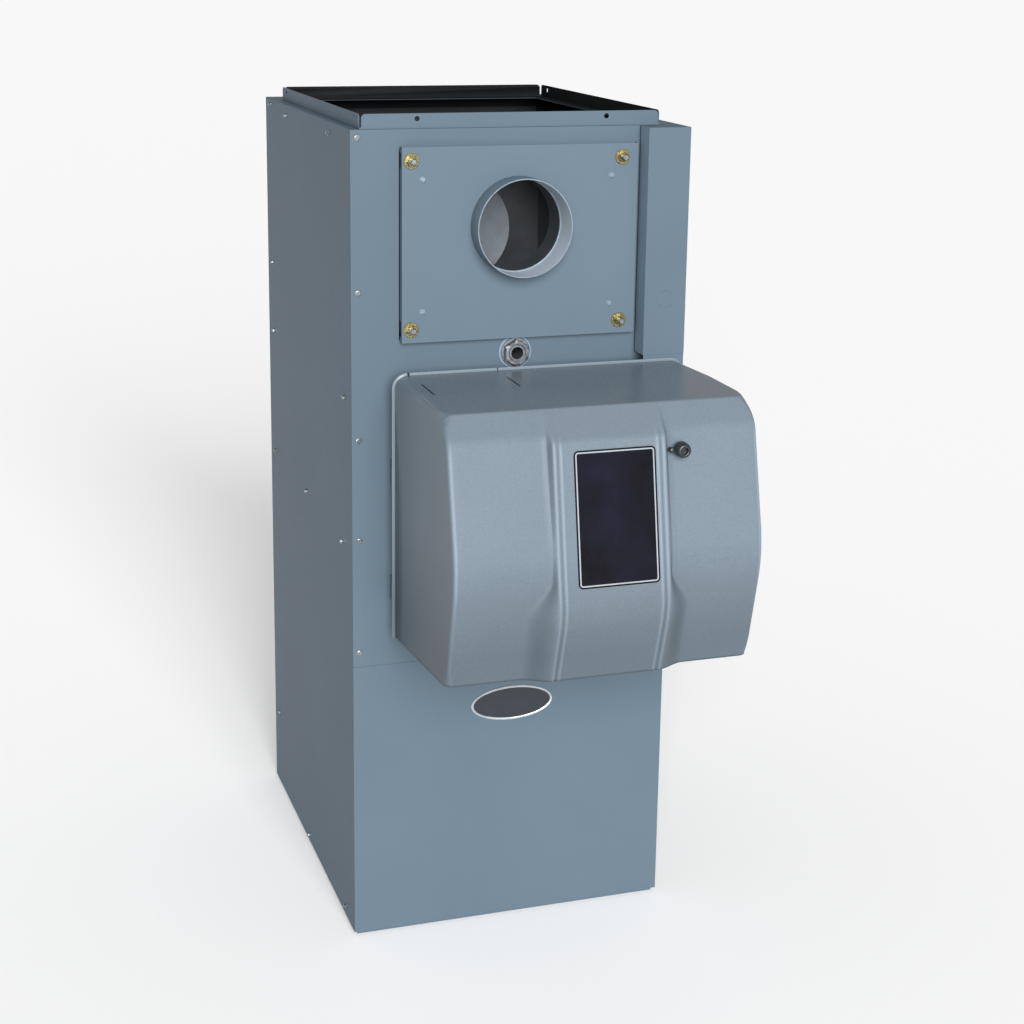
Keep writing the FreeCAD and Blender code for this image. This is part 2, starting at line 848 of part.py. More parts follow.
def hinge_ears(offset, ahead, behind, floor):
    """A pair of ears about the igniter's hinge pin, each a round end on a straight foot."""
    pin_y = front - hinge_reach
    pin_z = housing_top + hinge_rise
    ears = []
    for sign in (-1, 1):
        x = mid(sign * offset, hinge_ear_width)
        ears.append(bar_x(x, pin_y, pin_z, hinge_ear_radius))
        ears.append(box(x, (pin_y - ahead, pin_y + behind), (floor, pin_z)))
    return ears


def hinge_bore(clearance):
    radius = hinge_pin_radius + clearance
    return bar_x(mid(0, 2 * hinge_pin_length), front - hinge_reach, housing_top + hinge_rise, radius)


def make_burner_housing():
    x = mid(0, 2 * housing_half_width)
    inner_x = grow(x, -housing_wall)
    y = (front - housing_front, tube_y)
    z = mid(burner_z, 2 * housing_half_height)
    outer_ear = hinge_pin_length / 2 - hinge_ear_width / 2
    ears = hinge_ears(outer_ear, hinge_ear_radius, hinge_ear_radius, housing_top)
    body = join(bar_x(x, fan_y, fan_z, scroll_radius), box(x, y, z), *ears)
    opening_x = grow(x, -igniter_opening_margin)
    opening_middle = front - hinge_reach - hinge_plate_gap - igniter_depth / 2
    opening_y = mid(opening_middle, igniter_depth - 2 * igniter_opening_margin)
    tools = [
        bar_x(inner_x, fan_y, fan_z, scroll_radius - housing_wall),
        box(inner_x, grow(y, -housing_wall), grow(z, -housing_wall)),
        box(opening_x, opening_y, (housing_top - 2 * housing_wall, housing_top + 1)),
        bar_y(0, (tube_y - 2 * housing_wall, tube_y + 1), burner_z, blast_tube_radius - blast_tube_wall),
        bar_x((0, x[1] + 1), fan_y, fan_z, shaft_radius + 1),
        bar_x((x[0] - 1, 0), fan_y, fan_z, pump_neck_bore),
        bar_x((x[0] - 1, 0), fan_y, burner_z, nozzle_pipe_radius + burner_fit),
        hinge_bore(running_clearance),
    ]
    return cut(body, *tools, *inlet_slots((x[0] - 1, inner_x[0] + 1)))


def make_blast_tube():
    along = (tube_y, front + blast_tube_end)
    tube = bar_y(0, along, burner_z, blast_tube_radius)
    return cut(tube, bar_y(0, grow(along, 1), burner_z, blast_tube_radius - blast_tube_wall))


def make_retention_head():
    end = front + blast_tube_end
    radius = blast_tube_radius - blast_tube_wall - burner_fit
    along = (end - head_length, end)
    ring = cut(bar_y(0, along, burner_z, radius), bar_y(0, grow(along, 1), burner_z, radius - head_wall))
    plate = bar_y(0, (end - head_wall, end), burner_z, radius)
    tools = [bar_y(0, (end - head_length, end + 1), burner_z, head_hole_radius)]
    slot_z = (head_hole_radius - 1, radius - 2 * head_wall)
    for step in range(head_slot_count):
        slot = box(mid(0, head_slot_width), (end - 2 * head_wall, end + 1), slot_z)
        slot.rotate(V(0, 0, 0), V(0, 1, 0), step * 360 / head_slot_count)
        slot.translate(V(0, 0, burner_z))
        tools.append(slot)
    return cut(join(ring, plate), *tools)


def make_nozzle_assembly():
    end = front + nozzle_end
    outer = -housing_half_width
    pipe = bar_y(0, (fan_y, end), burner_z, nozzle_pipe_radius)
    tail = bar_x((outer - nozzle_nut_length - nozzle_tail, 0), fan_y, burner_z, nozzle_pipe_radius)
    corner = Part.makeSphere(nozzle_pipe_radius, V(0, fan_y, burner_z))
    adapter = bar_y(0, (end - nozzle_adapter_length, end), burner_z, nozzle_adapter_radius)
    seat = V(0, end, burner_z)
    tip = Part.makeCone(nozzle_adapter_radius, nozzle_tip_radius, nozzle_tip_length, seat, V(0, 1, 0))
    nut = bar_x((outer - nozzle_nut_length, outer), fan_y, burner_z, nozzle_nut_radius)
    clamp_y = front + clamp_setback
    clamp_x = mid(0, 2 * (electrode_offset + 2 * electrode_radius))
    clamp_z = (burner_z - nozzle_pipe_radius, burner_z + electrode_rise + 2 * electrode_radius)
    clamp = box(clamp_x, (clamp_y, clamp_y + clamp_thickness), clamp_z)
    hole_y = (clamp_y - 1, clamp_y + clamp_thickness + 1)
    hole_z = burner_z + electrode_rise
    holes = []
    for x in (-electrode_offset, electrode_offset):
        holes.append(bar_y(x, hole_y, hole_z, electrode_radius + burner_fit))
    return cut(join(pipe, corner, tail, adapter, tip, nut, clamp), *holes)


def make_electrodes():
    pair = []
    z = burner_z + electrode_rise
    along = (front - electrode_start, front + electrode_end)
    for sign in (-1, 1):
        x = sign * electrode_offset
        porcelain = bar_y(x, along, z, electrode_radius)
        wire = bar_y(x, grow(along, electrode_wire_reach), z, electrode_wire_radius)
        pair.append(join(porcelain, wire))
    return pair


def make_burner_motor():
    start = housing_half_width
    end = start + motor_length
    body = bar_x((start, end - motor_end_length), fan_y, fan_z, motor_radius)
    cap = bar_x((end - motor_end_length, end), fan_y, fan_z, motor_radius - motor_end_length / 2)
    bore = bar_x((start - 1, start + motor_bore_depth), fan_y, fan_z, shaft_radius + running_clearance)
    return cut(join(body, cap), bore)


def cage(x, radius, depth, count, thickness, ring):
    """A fan's blades between two end rings, about the X axis through the origin."""
    rings = []
    for end in ((x[0], x[0] + ring), (x[1] - ring, x[1])):
        rings.append(cut(bar_x(end, 0, 0, radius), bar_x(grow(end, 1), 0, 0, radius - depth)))
    blades = []
    for step in range(count):
        blade = box(x, mid(0, thickness), (radius - depth, radius - thickness))
        blade.rotate(V(0, 0, 0), V(1, 0, 0), step * 360 / count)
        blades.append(blade)
    return rings + blades


def fan_end():
    return housing_half_width - housing_wall - fan_end_gap


def make_burner_fan():
    end = fan_end()
    pieces = cage((-end, end), fan_radius, fan_blade_depth, fan_blade_count, fan_blade_thickness, fan_plate)
    plate = bar_x((end - fan_plate, end), 0, 0, fan_radius)
    hub = bar_x((end - fan_hub_length, end), 0, 0, fan_hub_radius)
    fan = join(plate, hub, *pieces)
    fan = cut(fan, bar_x((end - fan_hub_length - 1, end + 1), 0, 0, shaft_radius + hub_clearance))
    fan.translate(V(0, fan_y, fan_z))
    return fan


def make_motor_shaft():
    end = housing_half_width + motor_bore_depth - running_clearance
    return bar_x((fan_end() - fan_hub_length, end), fan_y, fan_z, shaft_radius)


def make_pump_coupling():
    sleeve = bar_x((pump_face + coupling_gap, fan_end() - fan_hub_length), fan_y, fan_z, coupling_radius)
    stub_x = (pump_face - coupling_stub_length, pump_face + coupling_gap)
    stub = bar_x(stub_x, fan_y, fan_z, coupling_stub_radius)
    return join(sleeve, stub)


def make_fuel_pump():
    neck = bar_x((pump_face, -housing_half_width), fan_y, fan_z, pump_neck_radius)
    body_x = (pump_face - pump_size, pump_face)
    body = box(body_x, mid(fan_y, pump_depth), mid(fan_z, pump_height))
    gears = bar_x((body_x[0] - pump_gear_length, body_x[0]), fan_y, fan_z, pump_gear_radius)
    recess = bar_x((pump_face, -housing_half_width + 1), fan_y, fan_z, pump_neck_bore)
    stub = coupling_stub_radius + running_clearance
    bore = bar_x((pump_face - coupling_stub_length - 1, pump_face + 1), fan_y, fan_z, stub)
    return cut(join(neck, body, gears), recess, bore)


def make_air_shutter():
    x = (shutter_outer, shutter_outer + shutter_thickness)
    disc = bar_x(x, fan_y, fan_z, shutter_radius)
    tab = box(x, mid(fan_y, shutter_tab), (fan_z - shutter_radius - shutter_tab, fan_z))
    bore = bar_x(grow(x, 1), fan_y, fan_z, pump_neck_radius + shutter_gap)
    return cut(join(disc, tab), bore, *inlet_slots(grow(x, 1)))


def make_oil_tube():
    pump_x = pump_face - pump_size / 2
    pump_top = fan_z + pump_height / 2
    end_x = -housing_half_width - nozzle_nut_length - nozzle_tail
    start = V(pump_x, fan_y, pump_top)
    rise = V(pump_x, fan_y, burner_z - oil_tube_bend)
    cut_in = oil_tube_bend * (1 - math.sqrt(0.5))
    turn = V(pump_x + cut_in, fan_y, burner_z - cut_in)
    level = V(pump_x + oil_tube_bend, fan_y, burner_z)
    end = V(end_x, fan_y, burner_z)
    bend = Part.Arc(rise, turn, level).toShape()
    path = Part.Wire([Part.makeLine(start, rise), bend, Part.makeLine(level, end)])
    section = Part.Wire(Part.makeCircle(oil_tube_radius, start, V(0, 0, 1)))
    return path.makePipeShell([section], True, False)


def make_igniter():
    floor = housing_top + igniter_seat
    back = front - hinge_reach - hinge_plate_gap
    y = (back - igniter_depth, back)
    plate = box(mid(0, igniter_width), y, (floor, floor + igniter_plate))
    case_x = mid(0, igniter_width - 2 * igniter_plate_margin)
    case = box(case_x, grow(y, -igniter_plate_margin), (floor, floor + igniter_height))
    inner_ear = hinge_pin_length / 2 - 3 * hinge_ear_width / 2 - hinge_ear_gap
    ear_floor = housing_top + hinge_rise - hinge_ear_radius
    ears = hinge_ears(inner_ear, hinge_plate_gap + igniter_plate_margin, 0, ear_floor)
    return cut(join(plate, case, *ears), hinge_bore(running_clearance))


def make_igniter_hinge_pin():
    return bar_x(mid(0, hinge_pin_length), front - hinge_reach, housing_top + hinge_rise, hinge_pin_radius)


def control_spans():
    """Spans of the primary control's case, beside the housing and above the motor."""
    x = (housing_half_width, housing_half_width + control_width)
    y = (front - housing_front, front - housing_front + control_depth)
    low = fan_z + motor_radius + control_gap
    return x, y, (low, low + control_height)


def reset_place():
    x, y, z = control_spans()
    return sum(x) / 2, y[0], z[1] - reset_rise


def make_primary_control():
    case = box(*control_spans())
    x, y, z = reset_place()
    return cut(case, bar_y(x, (y - 1, y + reset_depth + 2 * reset_travel), z, reset_radius + reset_clearance))


def make_reset_button():
    x, y, z = reset_place()
    return bar_y(x, (y - reset_stand, y + reset_depth), z, reset_radius)


# Circulating blower

def make_blower_housing():
    x, y = blower_outlet()
    scroll = bar_x(x, blower_y, blower_z, blower_scroll_radius)
    outlet = box(x, y, (blower_z, deck_height))
    flange = box(grow(x, blower_flange), y, (deck_height - sheet, deck_height))
    hollow = bar_x(grow(x, -sheet), blower_y, blower_z, blower_scroll_radius - sheet)
    throat = box(grow(x, -sheet), grow(y, -sheet), (blower_z, deck_height + 1))
    inlets = bar_x(grow(x, 1), blower_y, blower_z, blower_inlet_radius)
    return cut(join(scroll, outlet, flange), hollow, throat, inlets)


def make_blower_wheel():
    x = mid(0, 2 * blower_wheel_half_width)
    pieces = cage(
        x, blower_wheel_radius, blower_blade_depth, blower_blade_count, blower_blade_thickness, blower_ring
    )
    plate = bar_x((blower_hub_x, blower_hub_x + blower_ring), 0, 0, blower_wheel_radius)
    hub_x = (blower_hub_x - blower_hub_length, blower_hub_x + blower_ring)
    hub = bar_x(hub_x, 0, 0, blower_hub_radius)
    wheel = cut(join(plate, hub, *pieces), bar_x(grow(hub_x, 1), 0, 0, shaft_radius + hub_clearance))
    wheel.translate(V(0, blower_y, blower_z))
    return wheel


def make_blower_shaft():
    end = blower_motor_start + blower_motor_bore - running_clearance
    return bar_x((blower_hub_x - blower_hub_length, end), blower_y, blower_z, shaft_radius)


def make_blower_motor():
    x = (blower_motor_start, blower_motor_start + blower_motor_length)
    body = bar_x(x, blower_y, blower_z, blower_motor_radius)
    bore_x = (x[0] - 1, x[0] + blower_motor_bore)
    return cut(body, bar_x(bore_x, blower_y, blower_z, shaft_radius + running_clearance))


def make_motor_mount():
    inner = blower_motor_radius + hub_clearance
    arm_x = (blower_half_width, blower_half_width + mount_arm_thickness)
    band_x = (arm_x[1] - mount_band_width, arm_x[1])
    band = bar_x(band_x, 0, 0, inner + mount_band)
    arms = []
    for step in range(mount_arm_count):
        arm = box(arm_x, mid(0, mount_arm_width), (0, blower_inlet_radius + mount_arm_lap))
        arm.rotate(V(0, 0, 0), V(1, 0, 0), step * 360 / mount_arm_count)
        arms.append(arm)
    mount = cut(join(band, *arms), bar_x(grow(band_x, 1), 0, 0, inner))
    mount.translate(V(0, blower_y, blower_z))
    return mount


def make_blower_rails():
    y = blower_outlet()[1]
    flange_edge = blower_half_width + blower_flange
    web_edge = flange_edge + rail_clearance
    rails = []
    for sign in (-1, 1):
        web_x = tuple(sorted((sign * web_edge, sign * (web_edge + sheet))))
        shelf_x = tuple(sorted((sign * (flange_edge - rail_lip), sign * (web_edge + sheet))))
        web = box(web_x, y, (deck_height - 2 * sheet, deck_height))
        shelf = box(shelf_x, y, (deck_height - 2 * sheet, deck_height - sheet))
        rails.append(join(web, shelf))
    return rails


# Controls

def make_control_board():
    middle = (raceway_left + side) / 2
    x = mid(middle, board_width)
    z = mid(board_z, board_height)
    face = front - board_standoff
    board = box(x, (face - board_thickness, face), z)
    pieces = []
    for px in grow(x, -2 * board_standoff_radius):
        for pz in grow(z, -2 * board_standoff_radius):
            pieces.append(bar_y(px, (face, front), pz, board_standoff_radius))
    for step in (-1, 0, 1):
        relay_y = (face - board_thickness - relay_size, face - board_thickness)
        pieces.append(box(mid(middle, relay_size), relay_y, mid(board_z + 2 * step * relay_size, relay_size)))
    return join(board, *pieces)


def make_limit_switch():
    middle = (raceway_left + side) / 2
    body = box(mid(middle, limit_width), (front - limit_depth, front), mid(limit_z, limit_height))
    probe = bar_y(middle, (front, front + limit_probe_length), limit_z, limit_probe_radius)
    return join(body, probe)


def switch_place():
    """Spans of the door switch's body."""
    top = door_top - switch_drop
    y = (front + sheet + switch_setback, front + sheet + switch_setback + switch_depth)
    return mid(switch_x, switch_width), y, (top - switch_height, top)


def make_door_switch():
    x, y, z = switch_place()
    body = box(x, y, z)
    hanger = box(x, (y[1] - sheet, y[1]), (z[0], deck_height))
    bore_y = (y[0] - 1, y[0] + plunger_depth + 2 * plunger_travel)
    bore = bar_y(switch_x, bore_y, sum(z) / 2, plunger_radius + plunger_clearance)
    return cut(join(body, hanger), bore)


def make_door_switch_plunger():
    x, y, z = switch_place()
    return bar_y(switch_x, (front + sheet, y[0] + plunger_depth), sum(z) / 2, plunger_radius)


# Burner cover

lobe_corners = (
    (cover_reach, cover_top), (crease_reach, cover_top - crease_drop), (shoulder_reach, shoulder_z),
    (knee_reach, knee_z), (hem_reach, hem_z),
)
lobe_rounds = (crease_round, shoulder_round, knee_round)
band_corners = lobe_corners[:2] + (
    (band_shoulder_reach, band_shoulder_z), (band_knee_reach, band_knee_z), (band_hem_reach, band_hem_z),
)
band_rounds = (crease_round, band_shoulder_round, band_knee_round)


def reach_between(high, low, z):
    """Reach of the straight face between two corners, at a height."""
    return low[0] + (high[0] - low[0]) * (z - low[1]) / (high[1] - low[1])


def inset_corners(corners, amount):
    """The corners moved inwards by a wall, with both ends run on past the open back and the open bottom."""
    points = [V(u, z, 0) for u, z in corners]
    along = [(b - a).normalize() for a, b in zip(points, points[1:])]
    inward = [V(d.y, -d.x, 0) for d in along]
    moved = [points[0] + inward[0] * amount - along[0] * 2 * amount]
    for point, one, two in zip(points[1:], inward, inward[1:]):
        middle = (one + two).normalize()
        moved.append(point + middle * (amount / middle.dot(one)))
    run_on = max(hem_z, band_hem_z) - cover_bottom + 2 * amount
    moved.append(points[-1] + inward[-1] * amount + along[-1] * run_on)
    return [(p.x, p.y) for p in moved]


def section(x, corners, rounds, back_foot):
    """A closed section of the cover at x, with a tangent arc at each inner corner of its front."""
    points = [V(x, front - u, z) for u, z in corners]
    edges = []
    start = points[0]
    for before, corner, after, radius in zip(points, points[1:], points[2:], rounds):
        into = (corner - before).normalize()
        away = (after - corner).normalize()
        half_turn = into.getAngle(away) / 2
        setback = radius * math.tan(half_turn)
        first = corner - into * setback
        last = corner + away * setback
        middle = corner + (away - into).normalize() * (radius / math.cos(half_turn) - radius)
        edges.append(Part.makeLine(start, first))
        edges.append(Part.Arc(first, middle, last).toShape())
        start = last
    foot = V(x, front - back_foot[0], back_foot[1])
    edges.append(Part.makeLine(start, points[-1]))
    edges.append(Part.makeLine(points[-1], foot))
    edges.append(Part.makeLine(foot, points[0]))
    return Part.Wire(edges)


def cover_form(inset):
    """The cover's closed outer form, or its hollow where the inset is the wall."""
    x = grow(cover_x, -inset)
    shapes = {}
    for name, corners, rounds in (("lobe", lobe_corners, lobe_rounds), ("band", band_corners, band_rounds)):
        foot = (cover_reach, cover_bottom)
        if inset > 0:
            corners = inset_corners(corners, inset)
            foot = (corners[0][0], cover_bottom - 2 * inset)
        shapes[name] = (corners, [radius - inset for radius in rounds], foot)
    outer = band_half_width + band_splay
    stations = (
        (x[0], "lobe"), (cover_middle - outer, "lobe"), (cover_middle - band_half_width, "band"),
        (cover_middle + band_half_width, "band"), (cover_middle + outer, "lobe"), (x[1], "lobe"),
    )
    form = Part.makeLoft([section(place, *shapes[name]) for place, name in stations], True, True)
    corners = shapes["lobe"][0]
    ends = []
    for edge in form.Edges:
        middle = edge.BoundBox.Center
        flat = edge.BoundBox.XLength < 1e-6 and min(abs(middle.x - x[0]), abs(middle.x - x[1])) < 1e-6
        if flat and middle.z > corners[-1][1] + 1 and front - middle.y > corners[0][0] + 1:
            ends.append(edge)
    return form.makeFillet(cover_end_round - inset, ends)


def rim_frame(x, top, depth, corner):
    """A block behind the cover's rim with two rounded upper corners."""
    block = box(x, depth, (cover_bottom, top))
    upper = []
    for edge in block.Edges:
        if edge.BoundBox.YLength > edge.BoundBox.DiagonalLength - 1e-6 and edge.BoundBox.ZMin > top - 1:
            upper.append(edge)
    return block.makeFillet(corner, upper)


def knob_reach():
    """Front face of the boss that the knob turns against."""
    return reach_between((shoulder_reach, shoulder_z), (knee_reach, knee_z), knob_z) + boss_height


def make_burner_cover():
    hollow = cover_form(cover_wall)
    shell = cut(cover_form(0), hollow)
    depth = (front - cover_reach - cover_lip_depth, front - cover_reach)
    rim = rim_frame(grow(cover_x, cover_lip), cover_top + cover_lip, depth, cover_lip_corner)
    inside_x = grow(cover_x, -cover_wall)
    inside_corner = cover_lip_corner - cover_lip - cover_wall
    inside = rim_frame(inside_x, cover_top - cover_wall, grow(depth, 1), inside_corner)
    below = box(inside_x, grow(depth, 1), (cover_bottom - 1, cover_bottom + cover_wall))
    boss_y = (front - knob_reach(), front - knob_reach() + 3 * boss_height)
    boss = cut(bar_y(knob_x, boss_y, knob_z, boss_radius), hollow)
    hole_y = (front - knob_reach() - 1, front - cover_reach)
    hole = bar_y(knob_x, hole_y, knob_z, stud_radius + stud_clearance)
    return cut(join(shell, cut(rim, inside, below), boss), hole)


def make_cover_label_plate():
    high = (band_shoulder_reach, band_shoulder_z)
    low = (band_knee_reach, band_knee_z)
    upper = (reach_between(high, low, label_top), label_top)
    lower = (reach_between(high, low, label_bottom), label_bottom)
    left, right = mid(cover_middle + label_shift, label_width)
    corners = [
        V(left, front - lower[0], lower[1]), V(right, front - lower[0], lower[1]),
        V(right, front - upper[0], upper[1]), V(left, front - upper[0], upper[1]),
    ]
    face = Part.Face(Part.makePolygon(corners + [corners[0]]))
    outward = V(0, upper[1] - lower[1], upper[0] - lower[0]).normalize() * -1
    return face.extrude(outward * label_thickness)


def make_cover_knob():
    start = front - knob_reach() - knob_gap
    head = bar_y(knob_x, (start - knob_length, start), knob_z, knob_radius)
    ear_x = knob_x - knob_radius - knob_ear + knob_ear_radius
    ear = bar_y(ear_x, (start - knob_length / 2, start), knob_z, knob_ear_radius)
    web = box((ear_x, knob_x), (start - knob_length / 2, start), mid(knob_z, knob_ear_radius))
    bore = bar_y(knob_x, (start - stud_grip, start + 1), knob_z, stud_radius + stud_clearance)
    return cut(join(head, ear, web), bore)


def make_cover_stud():
    end = front - knob_reach() - knob_gap - stud_grip + 2 * knob_gap
    rod = bar_y(knob_x, (end, front), knob_z, stud_radius)
    foot = bar_y(knob_x, (front - stud_foot, front), knob_z, stud_foot_radius)
    return join(rod, foot)


def make_cover_hanger_brackets():
    brackets = []
    web_x = (cover_x[0] - cover_lip + hanger_tab, cover_x[0] - cover_lip + hanger_tab + hanger_sheet)
    for middle in hanger_heights:
        z = mid(middle, hanger_height)
        foot = box((web_x[0], web_x[0] + hanger_foot), (front - hanger_sheet, front), z)
        web = box(web_x, (raceway_front, front), z)
        tab = box((web_x[0] - hanger_tab, web_x[1]), (raceway_front, raceway_front + hanger_sheet), z)
        brackets.append(join(foot, web, tab))
    return brackets


nodes = {
    "base_pan": make_base_pan(),
    "left_side_panel": make_side_panel(-1),
    "right_side_panel": make_side_panel(1),
    "rear_panel": make_rear_panel(),
    "top_panel": make_top_panel(),
    "upper_front_panel": make_upper_front_panel(),
    "blower_door": make_blower_door(),
    "badge_plate": make_badge_plate(),
    "supply_air_flange": make_supply_air_flange(),
    "blower_deck": make_blower_deck(),
    "casing_liner": make_casing_liner(),
    "casing_screws": make_casing_screws(),
    "wiring_raceway": make_wiring_raceway(),
    "raceway_cover": make_raceway_cover(),
    "flue_plate": make_flue_plate(),
    "flue_collar": make_flue_collar(),
    "flue_studs": make_flue_studs(),
    "flue_nuts": make_flue_nuts(),
    "flue_plate_screws": make_flue_plate_screws(),
    "flue_gasket": make_flue_gasket(),
    "flue_baffle": make_flue_baffle(),
    "observation_port_pipe": make_observation_port_pipe(),
    "observation_port_nut": make_observation_port_nut(),
    "heat_exchanger_drum": make_heat_exchanger_drum(),
    "radiator_box": make_radiator_box(),
    "combustion_chamber": make_combustion_chamber(),
    "heat_exchanger_legs": make_heat_exchanger_legs(),
    "burner_flange": make_burner_flange(),
    "burner_flange_nuts": make_burner_flange_nuts(),
    "burner_housing": make_burner_housing(),
    "blast_tube": make_blast_tube(),
    "retention_head": make_retention_head(),
    "nozzle_assembly": make_nozzle_assembly(),
    "electrodes": make_electrodes(),
    "burner_motor": make_burner_motor(),
    "burner_fan": make_burner_fan(),
    "motor_shaft": make_motor_shaft(),
    "pump_coupling": make_pump_coupling(),
    "fuel_pump": make_fuel_pump(),
    "air_shutter": make_air_shutter(),
    "oil_tube": make_oil_tube(),
    "igniter": make_igniter(),
    "igniter_hinge_pin": make_igniter_hinge_pin(),
    "primary_control": make_primary_control(),
    "reset_button": make_reset_button(),
    "blower_housing": make_blower_housing(),
    "blower_wheel": make_blower_wheel(),
    "blower_shaft": make_blower_shaft(),
    "blower_motor": make_blower_motor(),
    "motor_mount": make_motor_mount(),
    "blower_rails": make_blower_rails(),
    "control_board": make_control_board(),
    "limit_switch": make_limit_switch(),
    "door_switch": make_door_switch(),
    "door_switch_plunger": make_door_switch_plunger(),
    "burner_cover": make_burner_cover(),
    "cover_label_plate": make_cover_label_plate(),
    "cover_knob": make_cover_knob(),
    "cover_stud": make_cover_stud(),
    "cover_hanger_brackets": make_cover_hanger_brackets(),
}

os.makedirs("parts", exist_ok=True)
for name, made in nodes.items():
    solids = []
    for shape in made if isinstance(made, list) else [made]:
        solids += shape.Solids
    result = solids[0] if len(solids) == 1 else Part.makeCompound(solids)
    result.exportStep(f"parts/{name}.step")
    print(name, len(solids), "solids", round(result.Volume), result.isValid())
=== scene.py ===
from math import copysign, cos, exp, pi, radians, sin, tan
import bmesh
import bpy
from mathutils import Euler, Matrix, Vector


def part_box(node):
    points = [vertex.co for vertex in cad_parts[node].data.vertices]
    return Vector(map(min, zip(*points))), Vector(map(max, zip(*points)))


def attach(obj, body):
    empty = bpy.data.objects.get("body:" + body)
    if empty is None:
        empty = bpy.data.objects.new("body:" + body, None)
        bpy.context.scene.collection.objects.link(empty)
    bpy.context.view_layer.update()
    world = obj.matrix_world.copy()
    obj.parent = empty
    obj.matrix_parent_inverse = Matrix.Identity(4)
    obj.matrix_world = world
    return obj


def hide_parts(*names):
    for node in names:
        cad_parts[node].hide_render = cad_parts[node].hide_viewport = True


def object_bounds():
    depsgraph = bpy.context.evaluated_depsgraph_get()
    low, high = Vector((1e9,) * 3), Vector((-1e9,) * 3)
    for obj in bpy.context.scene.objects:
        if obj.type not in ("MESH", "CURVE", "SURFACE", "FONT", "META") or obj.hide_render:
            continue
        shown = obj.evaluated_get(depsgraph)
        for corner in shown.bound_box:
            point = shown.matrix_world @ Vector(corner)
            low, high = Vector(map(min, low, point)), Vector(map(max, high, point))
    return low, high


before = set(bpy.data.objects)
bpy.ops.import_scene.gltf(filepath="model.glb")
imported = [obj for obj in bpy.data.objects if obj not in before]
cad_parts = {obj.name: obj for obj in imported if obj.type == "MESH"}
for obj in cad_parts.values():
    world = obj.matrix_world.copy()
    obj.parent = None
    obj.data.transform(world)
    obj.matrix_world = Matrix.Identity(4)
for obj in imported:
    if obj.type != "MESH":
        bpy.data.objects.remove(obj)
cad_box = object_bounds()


# The studio: a pale matt floor without an edge in view, an even white sky and one broad soft key
# light from the front and a little to the left. The camera stands where the photograph was taken.
scene = bpy.context.scene


def linear(colour):
    """An sRGB hex colour as linear red, green, blue and alpha."""
    parts = [int(colour[i:i + 2], 16) / 255 for i in (1, 3, 5)]
    return [c / 12.92 if c <= 0.04045 else ((c + 0.055) / 1.055) ** 2.4 for c in parts] + [1.0]


def add(tree, kind, inputs=None, **settings):
    """A node with its settings. A socket given as an input is linked, any other input is its value."""
    node = tree.nodes.new(kind)
    for name, value in settings.items():
        setattr(node, name, value)
    for name, value in (inputs or {}).items():
        if isinstance(value, bpy.types.NodeSocket):
            tree.links.new(value, node.inputs[name])
        else:
            node.inputs[name].default_value = value
    return node


def new_material(name, colour, roughness, **values):
    """A material, its node tree and its shader with the constant values set."""
    material = bpy.data.materials.new(name)
    material.use_nodes = True
    shader = material.node_tree.nodes["Principled BSDF"]
    shader.inputs["Base Color"].default_value = linear(colour)
    shader.inputs["Roughness"].default_value = roughness
    for socket, value in values.items():
        shader.inputs[socket.replace("_", " ")].default_value = value
    return material, material.node_tree, shader


def new_mesh(name, points, faces, materials, indices=None, angle=35):
    """An object from points and faces, smooth except where the surface turns by more than the angle."""
    mesh = bpy.data.meshes.new(name)
    mesh.from_pydata([tuple(p) for p in points], [], faces)
    for material in materials:
        mesh.materials.append(material)
    for polygon, index in zip(mesh.polygons, indices or []):
        polygon.material_index = index
    mesh.shade_smooth()
    mesh.set_sharp_from_angle(angle=radians(angle))
    obj = bpy.data.objects.new(name, mesh)
    scene.collection.objects.link(obj)
    return obj


# Floor paint: dead matt white with a hardly visible drift of tone, so that only the soft shadow shows.
floor_half, floor_drift = 90.0, 1.5
floor_paint, tree, shader = new_material("matt studio floor", "#F9F9F9", 1.0, Specular_IOR_Level=0.0)
floor_noise = add(tree, "ShaderNodeTexNoise", {"Scale": floor_drift, "Detail": 2.0})
floor_ramp = add(tree, "ShaderNodeValToRGB", {"Fac": floor_noise.outputs["Fac"]})
floor_ramp.color_ramp.elements[0].color = linear("#F8F8F8")
floor_ramp.color_ramp.elements[1].color = linear("#FAFAFA")
tree.links.new(floor_ramp.outputs["Color"], shader.inputs["Base Color"])
corners = [(sx * floor_half, sy * floor_half, 0) for sx, sy in ((-1, -1), (1, -1), (1, 1), (-1, 1))]
new_mesh("studio_floor", corners, [(0, 1, 2, 3)], [floor_paint])

# The sky lights the furnace softly and stands behind it as an even white.
sky_light, sky_backdrop = 0.38, 0.93
world = bpy.data.worlds.new("white sky")
world.use_nodes = True
background = world.node_tree.nodes["Background"]
background.inputs["Color"].default_value = (1.0, 1.0, 1.0, 1.0)
seen = add(world.node_tree, "ShaderNodeLightPath").outputs["Is Camera Ray"]
sky = add(world.node_tree, "ShaderNodeMapRange", {"Value": seen, "To Min": sky_light, "To Max": sky_backdrop})
world.node_tree.links.new(sky.outputs["Result"], background.inputs["Strength"])
scene.world = world
scene.view_settings.view_transform = "Standard"

key = bpy.data.lights.new("soft key", "SUN")
key.energy = 6.2
key.angle = radians(35)
key_light = bpy.data.objects.new("soft key", key)
key_light.rotation_euler = Euler((radians(72), 0, radians(-9)))
scene.collection.objects.link(key_light)

